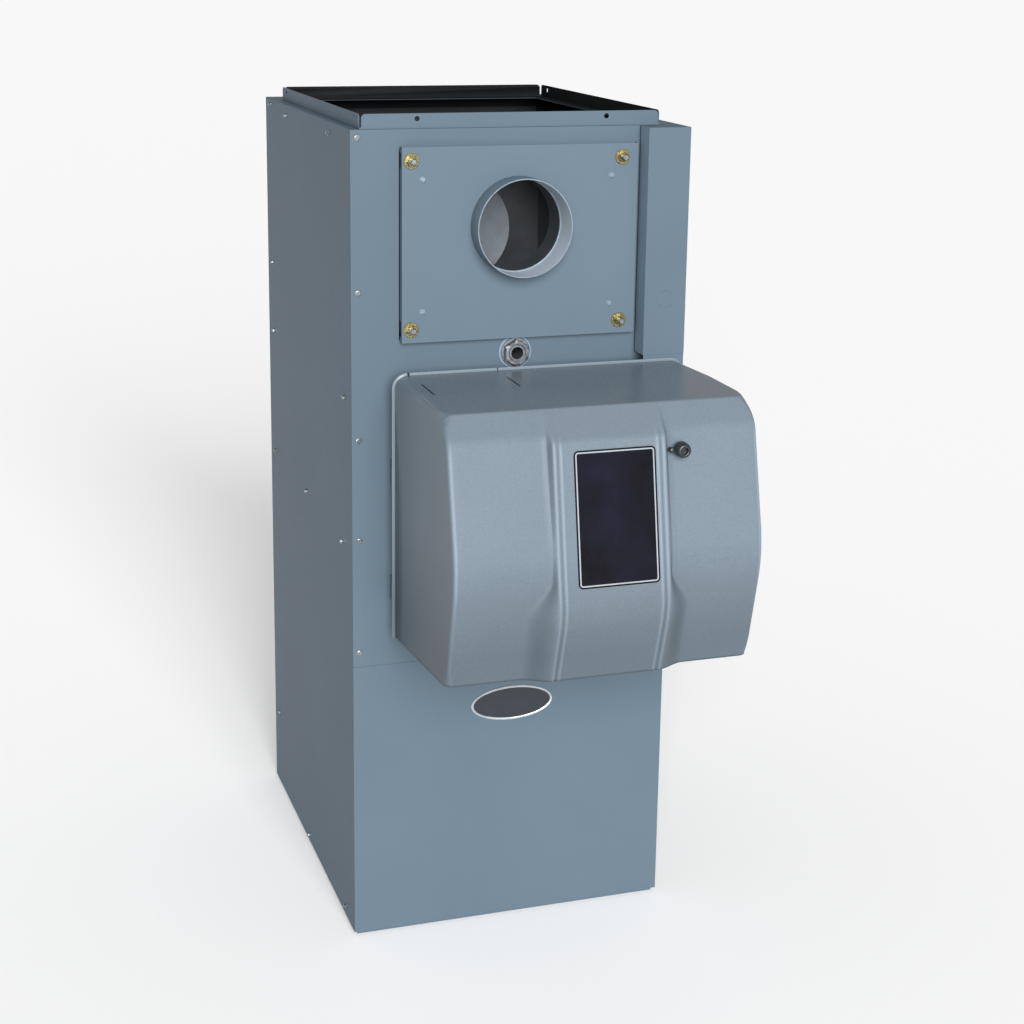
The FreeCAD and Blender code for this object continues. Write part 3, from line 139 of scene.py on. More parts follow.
# The lens is given in pixels of the square picture, as it was fitted to the cabinet's straight edges.
eye = Vector((-0.925542, -3.077965, 1.584876))
azimuth, elevation, roll = (radians(angle) for angle in (-18.4464, 13.4182, -0.8017))
picture_pixels, focal_pixels, shift_pixels = 1024, 1888.07, -112
lens = bpy.data.cameras.new("camera")
lens.sensor_width = 36
lens.lens = focal_pixels / picture_pixels * lens.sensor_width
lens.shift_y = shift_pixels / picture_pixels
lens.clip_end = 500
camera = bpy.data.objects.new("camera", lens)
camera.matrix_world = (Matrix.Translation(eye) @ Matrix.Rotation(azimuth, 4, "Z")
                       @ Matrix.Rotation(pi / 2 - elevation, 4, "X") @ Matrix.Rotation(-roll, 4, "Z"))
scene.collection.objects.link(camera)
scene.camera = camera


# Cabinet: side, rear, top and front panels folded from sheet steel, powder coated in blue grey and
# screwed together on the base pan. The fold and cut edges are slightly rounded.
mm = 0.001


def surface(name, dark, light, rough, patch, grain, depth, **values):
    """A material whose colour drifts between two tones over patches and whose fine grain
    varies gloss and height. The patch and grain sizes and the height are in millimetres."""
    material, tree, shader = new_material(name, light, rough[1], **values)
    spot = add(tree, "ShaderNodeTexCoord").outputs["Object"]
    drift = add(tree, "ShaderNodeTexNoise", {"Vector": spot, "Scale": 1 / (patch * mm), "Detail": 3.0})
    tone = add(tree, "ShaderNodeValToRGB", {"Fac": drift.outputs["Fac"]})
    for stop, place, colour in zip(tone.color_ramp.elements, (0.3, 0.7), (dark, light)):
        stop.position = place
        stop.color = linear(colour)
    speck = add(tree, "ShaderNodeTexNoise", {"Vector": spot, "Scale": 1 / (grain * mm), "Detail": 2.0})
    gloss = add(tree, "ShaderNodeMapRange", {"Value": speck.outputs["Fac"], "From Min": 0.3, "From Max": 0.7,
                                             "To Min": rough[0], "To Max": rough[1]})
    relief = add(tree, "ShaderNodeBump", {"Height": speck.outputs["Fac"], "Distance": depth * mm})
    tree.links.new(tone.outputs["Color"], shader.inputs["Base Color"])
    tree.links.new(gloss.outputs["Result"], shader.inputs["Roughness"])
    tree.links.new(relief.outputs["Normal"], shader.inputs["Normal"])
    return material


def settled(obj):
    """The object with its modifiers worked into a plain mesh."""
    depsgraph = bpy.context.evaluated_depsgraph_get()
    obj.data = bpy.data.meshes.new_from_object(obj.evaluated_get(depsgraph))
    obj.modifiers.clear()
    return obj


def dress(obj, node, body="cabinet", beside=False):
    """The object takes a CAD piece's place or stands beside it, and moves with a body."""
    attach(obj, body)
    if not beside:
        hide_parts(node)
    return obj


def merged(node):
    """A copy of a CAD piece's mesh with its loose triangles joined."""
    bm = bmesh.new()
    bm.from_mesh(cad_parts[node].data)
    bmesh.ops.remove_doubles(bm, verts=bm.verts, dist=0.005 * mm)
    return bm


def eased(node, material, width, shortest=8, corner=0, body="cabinet"):
    """A copy of a CAD piece with its long sharp edges rounded, in place of that piece. A corner radius
    also rounds the free top corners of its sheet walls. Sizes in millimetres."""
    bm = merged(node)
    bmesh.ops.dissolve_limit(bm, angle_limit=radians(0.5), verts=bm.verts, edges=bm.edges)
    if corner:
        thickest, top = 3 * mm, max(v.co.z for v in bm.verts) - 0.1 * mm
        ends = [e for e in bm.edges if len(e.link_faces) == 2 and e.calc_length() < thickest
                and min(v.co.z for v in e.verts) > top and e.calc_face_angle() > radians(60)]
        bmesh.ops.bevel(bm, geom=ends, offset=corner * mm, segments=5, profile=0.5, affect="EDGES")
    sharp = [e for e in bm.edges if len(e.link_faces) == 2 and e.calc_length() > shortest * mm
             and e.calc_face_angle() > radians(40)]
    bmesh.ops.bevel(bm, geom=sharp, offset=width * mm, segments=2, profile=0.5, affect="EDGES")
    mesh = bpy.data.meshes.new(node + "_eased")
    bm.to_mesh(mesh)
    bm.free()
    mesh.materials.append(material)
    mesh.shade_smooth()
    mesh.set_sharp_from_angle(angle=radians(50))
    obj = bpy.data.objects.new(node + "_eased", mesh)
    scene.collection.objects.link(obj)
    flat = obj.modifiers.new("flat faces", "WEIGHTED_NORMAL")
    flat.keep_sharp = True
    flat.weight = 100
    return dress(settled(obj), node, body)


def repaint(obj, material, chosen):
    """The faces that the test chooses take a second material."""
    obj.data.materials.append(material)
    for polygon in obj.data.polygons:
        if chosen(polygon):
            polygon.material_index = 1


# Powder coat: even blue grey with a soft sheen, broken by an orange peel about 2.5 mm across.
powder = {"rough": (0.42, 0.52), "patch": 260, "grain": 2.5, "depth": 0.012, "Specular_IOR_Level": 0.08}
cabinet_paint = surface("powder coat on sheet steel", "#4C5A65", "#4F5D68", **powder)
# Painted shade: black with hardly any gloss, standing in for the shade inside the casing and the air passage.
inside_shade_black = surface("black painted shade inside the casing", "#08090B", "#0C0E10", (0.6, 0.75), 60, 2.0, 0.03,
                       Specular_IOR_Level=0.1)
# The faces of the panels turned into the casing are painted black as the shade inside it.
casing_middle = (cad_box[0] + cad_box[1]) / 2
casing_middle.y = 0
panels = ("left_side_panel", "right_side_panel", "rear_panel", "top_panel", "upper_front_panel", "base_pan")
for node in panels:
    repaint(eased(node, cabinet_paint, 0.5), inside_shade_black,
            lambda face: face.normal.dot(casing_middle - face.center) > 0)


# Supply-air flange: a folded steel frame screwed to the top for the plenum to slip over. It is painted
# outside with the cabinet, and its inside is painted black as the shade of the air passage.
flange = eased("supply_air_flange", cabinet_paint, 0.4, corner=7)
flange_low, flange_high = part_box("supply_air_flange")
flange_middle = (flange_low + flange_high) / 2
foot_height = 4.0


def in_air_passage(face):
    """Whether a face of the flange is the inside of a wall or the top of the foot."""
    inward = flange_middle - face.center
    inward.z = 0
    if abs(face.normal.z) < 0.5:
        return face.normal.dot(inward) > 0
    return face.center.z < flange_low.z + foot_height * mm


repaint(flange, inside_shade_black, in_air_passage)


# Casing liner: mats of black faced glass fibre glued inside the casing around the heat exchanger.
# The deck under it is bare galvanised sheet.
def finish(material, *nodes):
    """CAD pieces that stay as they are and take a material."""
    for node in nodes:
        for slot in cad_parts[node].material_slots:
            slot.material = material


# Faced glass fibre: dull black with a matted grain, drawn coarser than the fibres, at 1.2 mm, to show.
finish(surface("black faced glass fibre", "#101214", "#181B1D", (0.85, 0.95), 30, 1.2, 0.15), "casing_liner")

# Galvanised sheet: bare zinc with spangle crystals about 9 mm across that differ in tone and gloss.
spangle_size = 9.0
galvanised, tree, shader = new_material("galvanised sheet", "#9CA1A5", 0.45, Metallic=1.0)
zinc_spot = add(tree, "ShaderNodeTexCoord").outputs["Object"]
crystals = add(tree, "ShaderNodeTexVoronoi", {"Vector": zinc_spot, "Scale": 1 / (spangle_size * mm)})
spangle = crystals.outputs["Color"]
spangle_tone = add(tree, "ShaderNodeValToRGB", {"Fac": spangle})
spangle_tone.color_ramp.elements[0].color = linear("#8B9196")
spangle_tone.color_ramp.elements[1].color = linear("#B4B8BA")
spangle_gloss = add(tree, "ShaderNodeMapRange", {"Value": spangle, "To Min": 0.38, "To Max": 0.55})
tree.links.new(spangle_tone.outputs["Color"], shader.inputs["Base Color"])
tree.links.new(spangle_gloss.outputs["Result"], shader.inputs["Roughness"])
finish(galvanised, "blower_deck", "blower_housing", "blower_rails", "motor_mount")


# Screws of the cabinet and the flue plate: hex washer heads on self-tapping shanks, all of one kind, each
# stopped at its own turn. Those of the cabinet are bright zinc, and those of the plate are painted over.
to_front, round_steps = (0, -1, 0), 48


def ring_faces(rings, steps, capped=False):
    """The faces between closed rings of points, row after row, and the caps on the last and first ring."""
    last = (rings - 1) * steps
    faces = [(a + k, a + (k + 1) % steps, a + steps + (k + 1) % steps, a + steps + k)
             for a in range(0, last, steps) for k in range(steps)]
    if capped:
        faces += [tuple(range(last, last + steps)), tuple(range(steps))[::-1]]
    return faces


def turned(profile, centre=(0, 0, 0), axis=(0, 0, 1), segments=round_steps):
    """Points and faces of rings about an axis. Each ring is (radius, height) in millimetres, or
    (half the width across flats, height, True) for a hexagonal ring."""
    turn = Vector((0, 0, 1)).rotation_difference(Vector(axis)).to_matrix()
    points = []
    for ring in profile:
        for k in range(segments):
            angle = 2 * pi * k / segments
            radius = ring[0]
            if len(ring) == 3:
                radius /= cos((angle + pi / 6) % (pi / 3) - pi / 6)
            spot = Vector((radius * cos(angle), radius * sin(angle), ring[1])) * mm
            points.append(Vector(centre) + turn @ spot)
    return points, ring_faces(len(profile), segments)


def islands(node):
    """The lowest and highest corners of each separate solid in a CAD piece."""
    bm = merged(node)
    left, boxes = set(bm.verts), []
    while left:
        front, group = [left.pop()], []
        while front:
            vert = front.pop()
            group.append(vert.co.copy())
            for edge in vert.link_edges:
                other = edge.other_vert(vert)
                if other in left:
                    left.discard(other)
                    front.append(other)
        boxes.append([Vector([pick(p[i] for p in group) for i in range(3)]) for pick in (min, max)])
    bm.free()
    return sorted(boxes, key=lambda b: tuple(round(v, 5) for v in b[0]))


repeat = bpy.data.node_groups.new("one piece on every point", "GeometryNodeTree")
repeat.is_modifier = True
socket_ids = {}
for title, kind in (("Geometry", "NodeSocketGeometry"), ("Piece", "NodeSocketObject"),
                    ("Largest turn", "NodeSocketFloat"), ("Finish", "NodeSocketMaterial")):
    socket_ids[title] = repeat.interface.new_socket(title, in_out="INPUT", socket_type=kind).identifier
repeat.interface.new_socket("Geometry", in_out="OUTPUT", socket_type="NodeSocketGeometry")
given = add(repeat, "NodeGroupInput").outputs
aim = add(repeat, "GeometryNodeInputNamedAttribute", {"Name": "aim"}, data_type="FLOAT_VECTOR")
stand = add(repeat, "FunctionNodeAlignRotationToVector", {"Vector": aim.outputs["Attribute"]}, axis="Z")
chance = add(repeat, "FunctionNodeRandomValue", {"Seed": 0}, data_type="FLOAT")
share = chance.outputs["Value"]
spin = add(repeat, "ShaderNodeMath", {0: share, 1: given["Largest turn"]}, operation="MULTIPLY")
twist = add(repeat, "FunctionNodeAxisAngleToRotation", {"Axis": (0, 0, 1), "Angle": spin.outputs[0]})
turn = add(repeat, "FunctionNodeRotateRotation",
           {"Rotation": stand.outputs[0], "Rotate By": twist.outputs[0]}, rotation_space="LOCAL")
piece = add(repeat, "GeometryNodeObjectInfo", {"Object": given["Piece"]}).outputs["Geometry"]
copies = add(repeat, "GeometryNodeInstanceOnPoints",
             {"Points": given["Geometry"], "Rotation": turn.outputs[0], "Instance": piece})
whole = add(repeat, "GeometryNodeRealizeInstances", {"Geometry": copies.outputs["Instances"]})
coated = add(repeat, "GeometryNodeSetMaterial", {"Geometry": whole.outputs[0], "Material": given["Finish"]})
add(repeat, "NodeGroupOutput", {"Geometry": coated.outputs["Geometry"]})


def spread(name, points, aims, shape, material, largest_turn=0.0):
    """Copies of one shape stood on points, each along its aim, kept as one plain mesh."""
    pattern = new_mesh("pattern", *shape, [material])
    seeds = bpy.data.meshes.new(name)
    seeds.from_pydata([tuple(p) for p in points], [], [])
    flat_aims = [c for a in aims for c in a]
    seeds.attributes.new("aim", "FLOAT_VECTOR", "POINT").data.foreach_set("vector", flat_aims)
    obj = bpy.data.objects.new(name, seeds)
    scene.collection.objects.link(obj)
    modifier = obj.modifiers.new("copies", "NODES")
    modifier.node_group = repeat
    modifier[socket_ids["Piece"]] = pattern
    modifier[socket_ids["Largest turn"]] = largest_turn
    modifier[socket_ids["Finish"]] = material
    settled(obj)
    obj.data.shade_smooth()
    obj.data.set_sharp_from_angle(angle=radians(35))
    bpy.data.objects.remove(pattern)
    return obj


# Bright zinc plate: a pale metal with a soft mirror, clouded from one screw to the next.
bright_zinc = surface("bright zinc plate", "#7F8589", "#A2A7AA", (0.24, 0.36), 6, 0.8, 0.004, Metallic=1.0)
# Painted screw: the cabinet's colour, lighter and glossier where the paint has run thin on the edges.
painted_screw = surface("screw heads painted over", "#56646F", "#74828E", (0.3, 0.4), 5, 0.8, 0.01)
screw_washer, screw_half, screw_rise, screw_dish = 4.9, 6.35 / 2, 3.6, 2.0
shank_radius, shank_length, shank_point = 2.0, 12.0, 1.5
screw_head = turned([(0.1, -shank_length), (shank_radius, shank_point - shank_length), (shank_radius, 0.0),
                     (screw_washer, 0.0), (screw_washer, 0.6), (screw_washer - 0.5, 1.0),
                     (screw_half, 1.05, True), (screw_half, screw_rise - 0.4, True),
                     (screw_half - 0.25, screw_rise), (screw_dish, screw_rise),
                     (screw_dish - 0.3, screw_rise - 0.3), (0.01, screw_rise - 0.3)], segments=24)
for node, screw_finish in (("casing_screws", bright_zinc), ("flue_plate_screws", painted_screw)):
    spots, aims = [], []
    for low, high in islands(node):
        size, middle = high - low, (low + high) / 2
        sideways = size.x > size.y
        outward = Vector((copysign(1, middle.x), 0, 0)) if sideways else Vector(to_front)
        spots.append(middle + outward * (abs(size.dot(outward)) / 2 - screw_rise * mm))
        aims.append(outward)
    dress(spread(node + "_heads", spots, aims, screw_head, screw_finish, pi), node)


# Wiring raceway: a folded steel channel up the right of the front with a screwed cover plate, both
# in the cabinet's paint, with a round knockout half cut in the cover. The cover's left wall is lighter, as
# painted light.
eased("wiring_raceway", cabinet_paint, 0.4)
raceway_lid = eased("raceway_cover", cabinet_paint, 0.4)
# Painted light: the cabinet's paint lightened for the raceway cover's left wall and the port lip, as soft in
# sheen.
painted_light_coat = surface("cabinet paint lightened as painted light", "#6B7D8D", "#6F8191", **powder)
repaint(raceway_lid, painted_light_coat, lambda face: face.normal.x < -0.8)
# Painted shade in the groove: the same grey, darker as the shade in the cut.
groove_shade_paint = surface("painted shade in a half-cut groove", "#38444D", "#434F58", (0.5, 0.6), 12, 1.0, 0.01)
raceway_low, raceway_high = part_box("raceway_cover")
collar_low, collar_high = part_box("flue_collar")
collar_x, collar_z = (collar_low.x + collar_high.x) / 2, (collar_low.z + collar_high.z) / 2
knockout_drop, knockout_radius = 121.0, 14.0
knockout_seat = ((raceway_low.x + raceway_high.x) / 2, raceway_low.y, collar_z - knockout_drop * mm)
groove_rings = [(knockout_radius + out, height) for out, height in
                ((-1.3, -0.2), (-1.0, -0.05), (-0.2, -0.05), (0.1, -0.2))]
groove = new_mesh("raceway_knockout_groove", *turned(groove_rings, knockout_seat, to_front), [groove_shade_paint])
dress(groove, "raceway_cover", beside=True)


# Flue plate: a shallow pressed steel pan over the flue opening, painted with the cabinet and clamped on a
# mineral fibre gasket. The round collar for the smoke pipe is welded into it.
# Powder coat on the pan: the cabinet's paint, a shade lighter on the smoother pressed sheet.
plate_paint = surface("powder coat on pressed steel", "#505E69", "#53616C", **powder)
# Mineral fibre: a pale, dry, fuzzy grey without gloss.
finish(surface("mineral fibre gasket", "#8D8A80", "#A39F93", (0.9, 0.98), 12, 1.0, 0.1), "flue_gasket")
# Grey scale: flat mid grey with a faint gleam of steel, seen deep in the flue.
finish(surface("grey scaled steel sheet", "#50565C", "#5C6268", (0.5, 0.65), 30, 1.5, 0.02, Metallic=0.2),
       "flue_baffle")
# Flue scale: dark, dry and rough.
flue_scale = surface("dark flue scale", "#2B2E31", "#34383B", (0.6, 0.75), 40, 2.0, 0.03)
# Worn paint and painted highlight: the cut rim is paler, a thin bright line, with some metal showing through.
cut_rim = surface("worn paint and painted highlight on a cut edge", "#6A7681", "#828E98", (0.35, 0.45), 8, 0.5, 0.004, Metallic=0.3)
# Painted light: the collar's inner wall in a pale, dull film, lighter than the paint outside.
collar_wall_painted_light = surface("paint lightened as painted light on rolled steel", "#A4B1BD", "#AEBBC7", (0.45, 0.55), 40, 2.0, 0.01,
                      Metallic=0.1)
eased("flue_plate", plate_paint, 0.6)
plate_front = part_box("flue_plate")[0].y
outer, ledge, collar_steps = (collar_high.z - collar_low.z) / 2 / mm, -10.0, 96
reach, tail = (plate_front - collar_low.y) / mm, (plate_front - collar_high.y) / mm
collar_rings = [(outer - inward, height) for inward, height in
                ((1, tail), (1, 0.2), (0, 0.6), (0, reach - 0.9), (0.4, reach), (1.4, reach),
                 (2, reach - 0.7), (2, ledge), (3.5, ledge), (4, ledge - 0.6), (4, tail), (1, tail))]
collar_finish = (2, 0, 0, 1, 1, 1, 3, 1, 1, 2, 2)
collar_shape = turned(collar_rings, (collar_x, plate_front, collar_z), to_front, collar_steps)
collar = new_mesh("flue_collar_turned", *collar_shape, [plate_paint, cut_rim, flue_scale, collar_wall_painted_light],
                  [row for row in collar_finish for k in range(collar_steps)])
dress(collar, "flue_collar")


# Flue studs and nuts: four welded studs with rolled threads, each with a plain washer and a hexagon nut
# in yellow passivated zinc.
stud_radius, thread_pitch, thread_depth, thread_length = 4.8, 1.5, 0.65, 20.0
stud_boxes = islands("flue_studs")
stud_length = (stud_boxes[0][1].y - stud_boxes[0][0].y) / mm
thread_start, thread_end = -min(thread_length, stud_length - 1), -2.0
stud_rings = [(0.1, -stud_length), (stud_radius, -stud_length), (stud_radius, thread_start)]
for k in range(int((thread_end - thread_start) / thread_pitch)):
    for share, cut in ((0.2, thread_depth), (0.3, thread_depth), (0.6, 0.0), (0.7, 0.0)):
        stud_rings.append((stud_radius - cut, thread_start + (k + share) * thread_pitch))
stud_rings += [(stud_radius, -1.4), (stud_radius - 1.1, 0.0), (0.01, 0.0)]
stud_tips = [Vector(((low.x + high.x) / 2, low.y, (low.z + high.z) / 2)) for low, high in stud_boxes]
stud_aims = [to_front] * len(stud_tips)
studs = spread("flue_studs_threaded", stud_tips, stud_aims, turned(stud_rings, segments=24), bright_zinc, pi)
dress(studs, "flue_studs")
# Yellow passivated zinc: a brassy metal, clouded with darker olive over each nut.
nut_zinc = surface("yellow passivated zinc", "#6A623C", "#A89E74", (0.22, 0.34), 3, 0.8, 0.004, Metallic=1.0)
nut_boxes = islands("flue_nuts")
nut_seats = [Vector(((low.x + high.x) / 2, high.y, (low.z + high.z) / 2)) for low, high in nut_boxes]
washer, washer_radius, nut_half = 1.6, 12.0, 14.3 / 2
nut_top = (nut_boxes[0][1].y - nut_boxes[0][0].y) / mm
nut_rings = [(stud_radius, 0.0), (washer_radius, 0.0), (washer_radius, washer - 0.3),
             (washer_radius - 0.4, washer), (nut_half - 0.2, washer), (nut_half, washer + 0.8, True),
             (nut_half, nut_top - 0.9, True), (nut_half - 0.25, nut_top), (stud_radius + 0.7, nut_top),
             (stud_radius, nut_top - 0.6), (stud_radius, 0.0)]
nuts = spread("flue_nuts_chamfered", nut_seats, stud_aims, turned(nut_rings), nut_zinc, pi)
dress(nuts, "flue_nuts")


# Observation port: a plain steel pipe nipple through a lipped hole in the front, with a large flanged
# hexagon nut on its end. The bore is sooty.
# Dull plated steel: grey metal with a broken satin gleam.
port_steel = surface("dull plated steel", "#565B60", "#7C8287", (0.44, 0.56), 10, 1.2, 0.01, Metallic=0.75)
# Soot: a soft black that gives back hardly any light.
soot = surface("soot", "#1C1D1E", "#2A2C2E", (0.85, 0.95), 5, 0.6, 0.05)
port_low, port_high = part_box("observation_port_nut")
port_seat = Vector(((port_low.x + port_high.x) / 2, port_high.y, (port_low.z + port_high.z) / 2))
port_half, port_height = 19.0, (port_high.y - port_low.y) / mm
port_flange = (port_high.z - port_low.z) / 2 / mm
pipe_low, pipe_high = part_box("observation_port_pipe")
pipe_radius, pipe_bore = (pipe_high.x - pipe_low.x) / 2 / mm, 9.5
pipe_length = (pipe_high.y - pipe_low.y) / mm
port_rings = [(pipe_radius, 0.0), (port_flange, 0.0), (port_flange, 1.4), (port_flange - 0.6, 2.0),
              (port_half - 0.6, 2.0), (port_half, 3.2, True), (port_half, port_height - 1.8, True),
              (port_half - 0.6, port_height), (pipe_radius + 1.2, port_height),
              (pipe_radius, port_height - 1.0), (pipe_radius, 0.0)]
port_nut = new_mesh("observation_port_nut_chamfered", *turned(port_rings, port_seat, to_front), [port_steel])
dress(port_nut, "observation_port_nut")
pipe_rings = [(pipe_bore, -pipe_length), (pipe_radius, -pipe_length), (pipe_radius, -1.0),
              (pipe_radius - 0.9, 0.0), (pipe_bore + 0.6, 0.0), (pipe_bore, -0.8), (pipe_bore, -pipe_length)]
pipe_finish = (0, 0, 0, 0, 0, 1)
pipe_shape = turned(pipe_rings, (port_seat.x, pipe_low.y, port_seat.z), to_front)
pipe = new_mesh("observation_port_pipe_turned", *pipe_shape, [port_steel, soot],
                [row for row in pipe_finish for k in range(round_steps)])
dress(pipe, "observation_port_pipe")
front_low, front_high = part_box("upper_front_panel")
panel_front = front_low.y
lip_radius = port_flange + 0.4
lip_rings = [(lip_radius + out, height) for out, height in
             ((0, -0.4), (0, 1.3), (0.6, 1.8), (1.6, 1.7), (2.8, 1.0), (3.4, 0.0), (3.4, -0.4), (0, -0.4))]
lip_seat = (port_seat.x, panel_front, port_seat.z)
# The lip is in the lightened paint, a painted highlight on its rounded edge.
port_lip = new_mesh("port_hole_lip", *turned(lip_rings, lip_seat, to_front), [painted_light_coat])
dress(port_lip, "upper_front_panel", beside=True)


# Heat exchanger: a welded steel drum and radiator box on angle legs, with a chamber of moulded refractory
# fibre inside. The outside is stained by heat.
# Heat-stained steel: dark metal with a dull gleam in cloudy patches.
finish(surface("dark heat-stained steel", "#24282B", "#32373B", (0.3, 0.42), 40, 3.0, 0.02, Metallic=1.0),
       "heat_exchanger_drum")
# Scaled steel: grey and dry, slightly rough.
finish(surface("scaled steel", "#5F6468", "#6F7478", (0.6, 0.75), 50, 2.0, 0.05), "radiator_box")
# Refractory fibre: chalky cream with a coarse felted face.
finish(surface("moulded refractory fibre", "#C9BFA6", "#DDD5C0", (0.92, 0.99), 30, 2.0, 0.2),
       "combustion_chamber")
finish(galvanised, "heat_exchanger_legs")


# Oil burner: a die-cast housing on a bolted flange, with its motor on the right, the fuel pump and air
# shutter on the left, the igniter hinged on top and the primary control with its red reset button.
# Die-cast aluminium: pale satin metal with a fine cast skin.
casting = surface("die-cast aluminium", "#7E8285", "#94989A", (0.42, 0.55), 20, 1.0, 0.03, Metallic=0.85)
# Zinc casting: darker and duller than the housing.
pump_alloy = surface("zinc pump casting", "#6E7173", "#868A8D", (0.38, 0.5), 12, 0.9, 0.02, Metallic=0.9)
# Aluminised sheet: silvery, soft and slightly mottled.
finish(surface("aluminised steel sheet", "#929DA8", "#A0ABB5", (0.42, 0.55), 25, 1.5, 0.01, Metallic=0.4),
       "blast_tube", "retention_head")
# Drawn copper: warm and bright, browned in patches.
finish(surface("drawn copper", "#9A5433", "#C27A52", (0.2, 0.34), 18, 0.7, 0.006, Metallic=1.0), "oil_tube")
# Turned brass: yellow metal with a close, bright cut.
finish(surface("turned brass", "#A8873C", "#C7A858", (0.22, 0.34), 6, 0.6, 0.004, Metallic=1.0),
       "nozzle_assembly")
# Ground steel: the smoothest and brightest metal here.
finish(surface("ground steel shaft", "#8F9396", "#A9ADB0", (0.18, 0.28), 10, 0.5, 0.003, Metallic=1.0),
       "motor_shaft", "blower_shaft")
# Glazed porcelain: cream white with a wet gloss.
finish(surface("glazed porcelain", "#CFCBC0", "#DEDBD2", (0.12, 0.2), 8, 1.5, 0.005), "electrodes")
# Black moulded plastic: a slight sheen over an eroded grain, drawn coarser, at 0.7 mm, to show.
black_plastic = surface("black moulded plastic", "#0D0E0F", "#141516", (0.3, 0.45), 15, 0.7, 0.02)
# Red moulded plastic: a clear signal red, smooth from the mould.
finish(surface("red moulded plastic", "#8E1010", "#A81814", (0.25, 0.35), 6, 0.7, 0.01), "reset_button")
for node in ("burner_housing", "burner_flange"):
    eased(node, casting, 1.2, 12)
eased("fuel_pump", pump_alloy, 1.2, 10)
eased("primary_control", black_plastic, 1.5, 12)
eased("igniter", black_plastic, 1.5, 12, body="igniter")
eased("air_shutter", pump_alloy, 0.4, body="air_shutter")
finish(bright_zinc, "burner_flange_nuts", "igniter_hinge_pin", "cover_stud")
finish(black_plastic, "pump_coupling")


# Motors: black enamelled shells, each with a swaged band at both ends and a smaller end bell. The burner's
# motor bolts to the housing, and the blower's hangs in a band inside its wheel.
# Motor enamel: near black with a soft gloss over sheet steel.
motor_enamel = surface("black motor enamel", "#131415", "#1B1C1E", (0.3, 0.42), 40, 2.0, 0.02)
shaft_bore, along_shaft = 6.4, (1, 0, 0)


def motor(node, body_length, bell_radius, bore_depth):
    """A motor shell about its shaft, which comes out on the left."""
    low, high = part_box(node)
    radius, length = (high.z - low.z) / 2 / mm, (high.x - low.x) / mm
    rings = [(0.01, bore_depth), (shaft_bore, bore_depth), (shaft_bore, 0.0), (radius - 4, 0.0),
             (radius, 4.0), (radius, 14.0), (radius - 1, 14.6), (radius - 1, body_length - 15.6),
             (radius, body_length - 15), (radius, body_length - 3), (radius - 3, body_length),
             (bell_radius, body_length + 0.2), (bell_radius, length - 4), (bell_radius - 3, length - 0.6),
             (14.0, length), (12.0, length - 2), (0.01, length - 2)]
    centre = (low.x, (low.y + high.y) / 2, (low.z + high.z) / 2)
    shell = new_mesh(node + "_shell", *turned(rings, centre, along_shaft), [motor_enamel])
    dress(shell, node)


motor("burner_motor", 100.0, 53.0, 26.0)
motor("blower_motor", 118.0, 62.0, 30.0)


# Fan wheels: curved blades of galvanised strip, all alike, let into two end rings, with one plate to the
# hub. The large one moves the house air, and the small one blows the burner.
def joined(shapes):
    """One list of points and one of faces from several shapes."""
    points, faces = [], []
    for more, rows in shapes:
        faces += [tuple(len(points) + k for k in face) for face in rows]
        points += more
    return points, faces


def fan_wheel(node, depth, count, ring, plate, hub_radius, hub):
    """A wheel of blades about its shaft. Plate and hub are spans along it from the left end."""
    low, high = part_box(node)
    radius, length = (high.z - low.z) / 2 / mm, (high.x - low.x) / mm
    middle = (low + high) / 2
    strip, blade_steps, lean, curve, bevel = 0.9, 6, 0.45, 0.2, 0.4
    outline = []
    for side, order in ((0.0, range(blade_steps + 1)), (strip, range(blade_steps, -1, -1))):
        for k in order:
            share = k / blade_steps
            bow = lean * depth * share + curve * depth * sin(pi * share)
            outline.append((side - bow, -0.6 - (depth - 1.0) * share))
    points = [Vector((end * (length / 2 - 1), y, z)) * mm for end in (-1, 1) for y, z in outline]
    n = len(outline)
    faces = [(k, n + k, n + (k + 1) % n, (k + 1) % n) for k in range(n)]
    turns = [2 * pi * (k + 0.25) / count for k in range(count)]
    aims = [Vector((0, cos(t), sin(t))) for t in turns]
    spots = [middle + a * radius * mm for a in aims]
    dress(spread(node + "_blades", spots, aims, (points, faces), galvanised), node, node)
    shapes = []
    for start, end, inner, outside in ((0, ring, radius - depth, radius),
                                       (length - ring, length, radius - depth, radius),
                                       (*plate, shaft_bore, radius - 0.5), (*hub, shaft_bore, hub_radius)):
        rings = [(inner, start), (outside - bevel, start), (outside, start + bevel), (outside, end - bevel),
                 (outside - bevel, end), (inner, end), (inner, start)]
        shapes.append(turned(rings, (low.x, middle.y, middle.z), along_shaft, 72))
    dress(new_mesh(node + "_rings", *joined(shapes), [galvanised]), node, node, beside=True)


fan_wheel("blower_wheel", 20.0, 36, 3.0, (80.0, 83.0), 16.0, (54.0, 83.0))
fan_wheel("burner_fan", 13.0, 28, 3.0, (75.0, 78.0), 14.0, (52.0, 78.0))


# Controls: a circuit board in the raceway, a limit switch beside the flue, and a door switch with
# a white plunger in the blower bay. Two painted brackets on the front carry the burner cover.
# Circuit board: dark green resin, smooth and glossy.
finish(surface("green circuit board", "#0F3B22", "#15502F", (0.25, 0.4), 8, 0.8, 0.01), "control_board")
# Nylon: off-white and waxy.
finish(surface("white nylon", "#C9C8C2", "#D8D7D1", (0.4, 0.5), 12, 0.8, 0.01), "door_switch_plunger")
finish(black_plastic, "limit_switch", "door_switch")
eased("cover_hanger_brackets", cabinet_paint, 0.4)


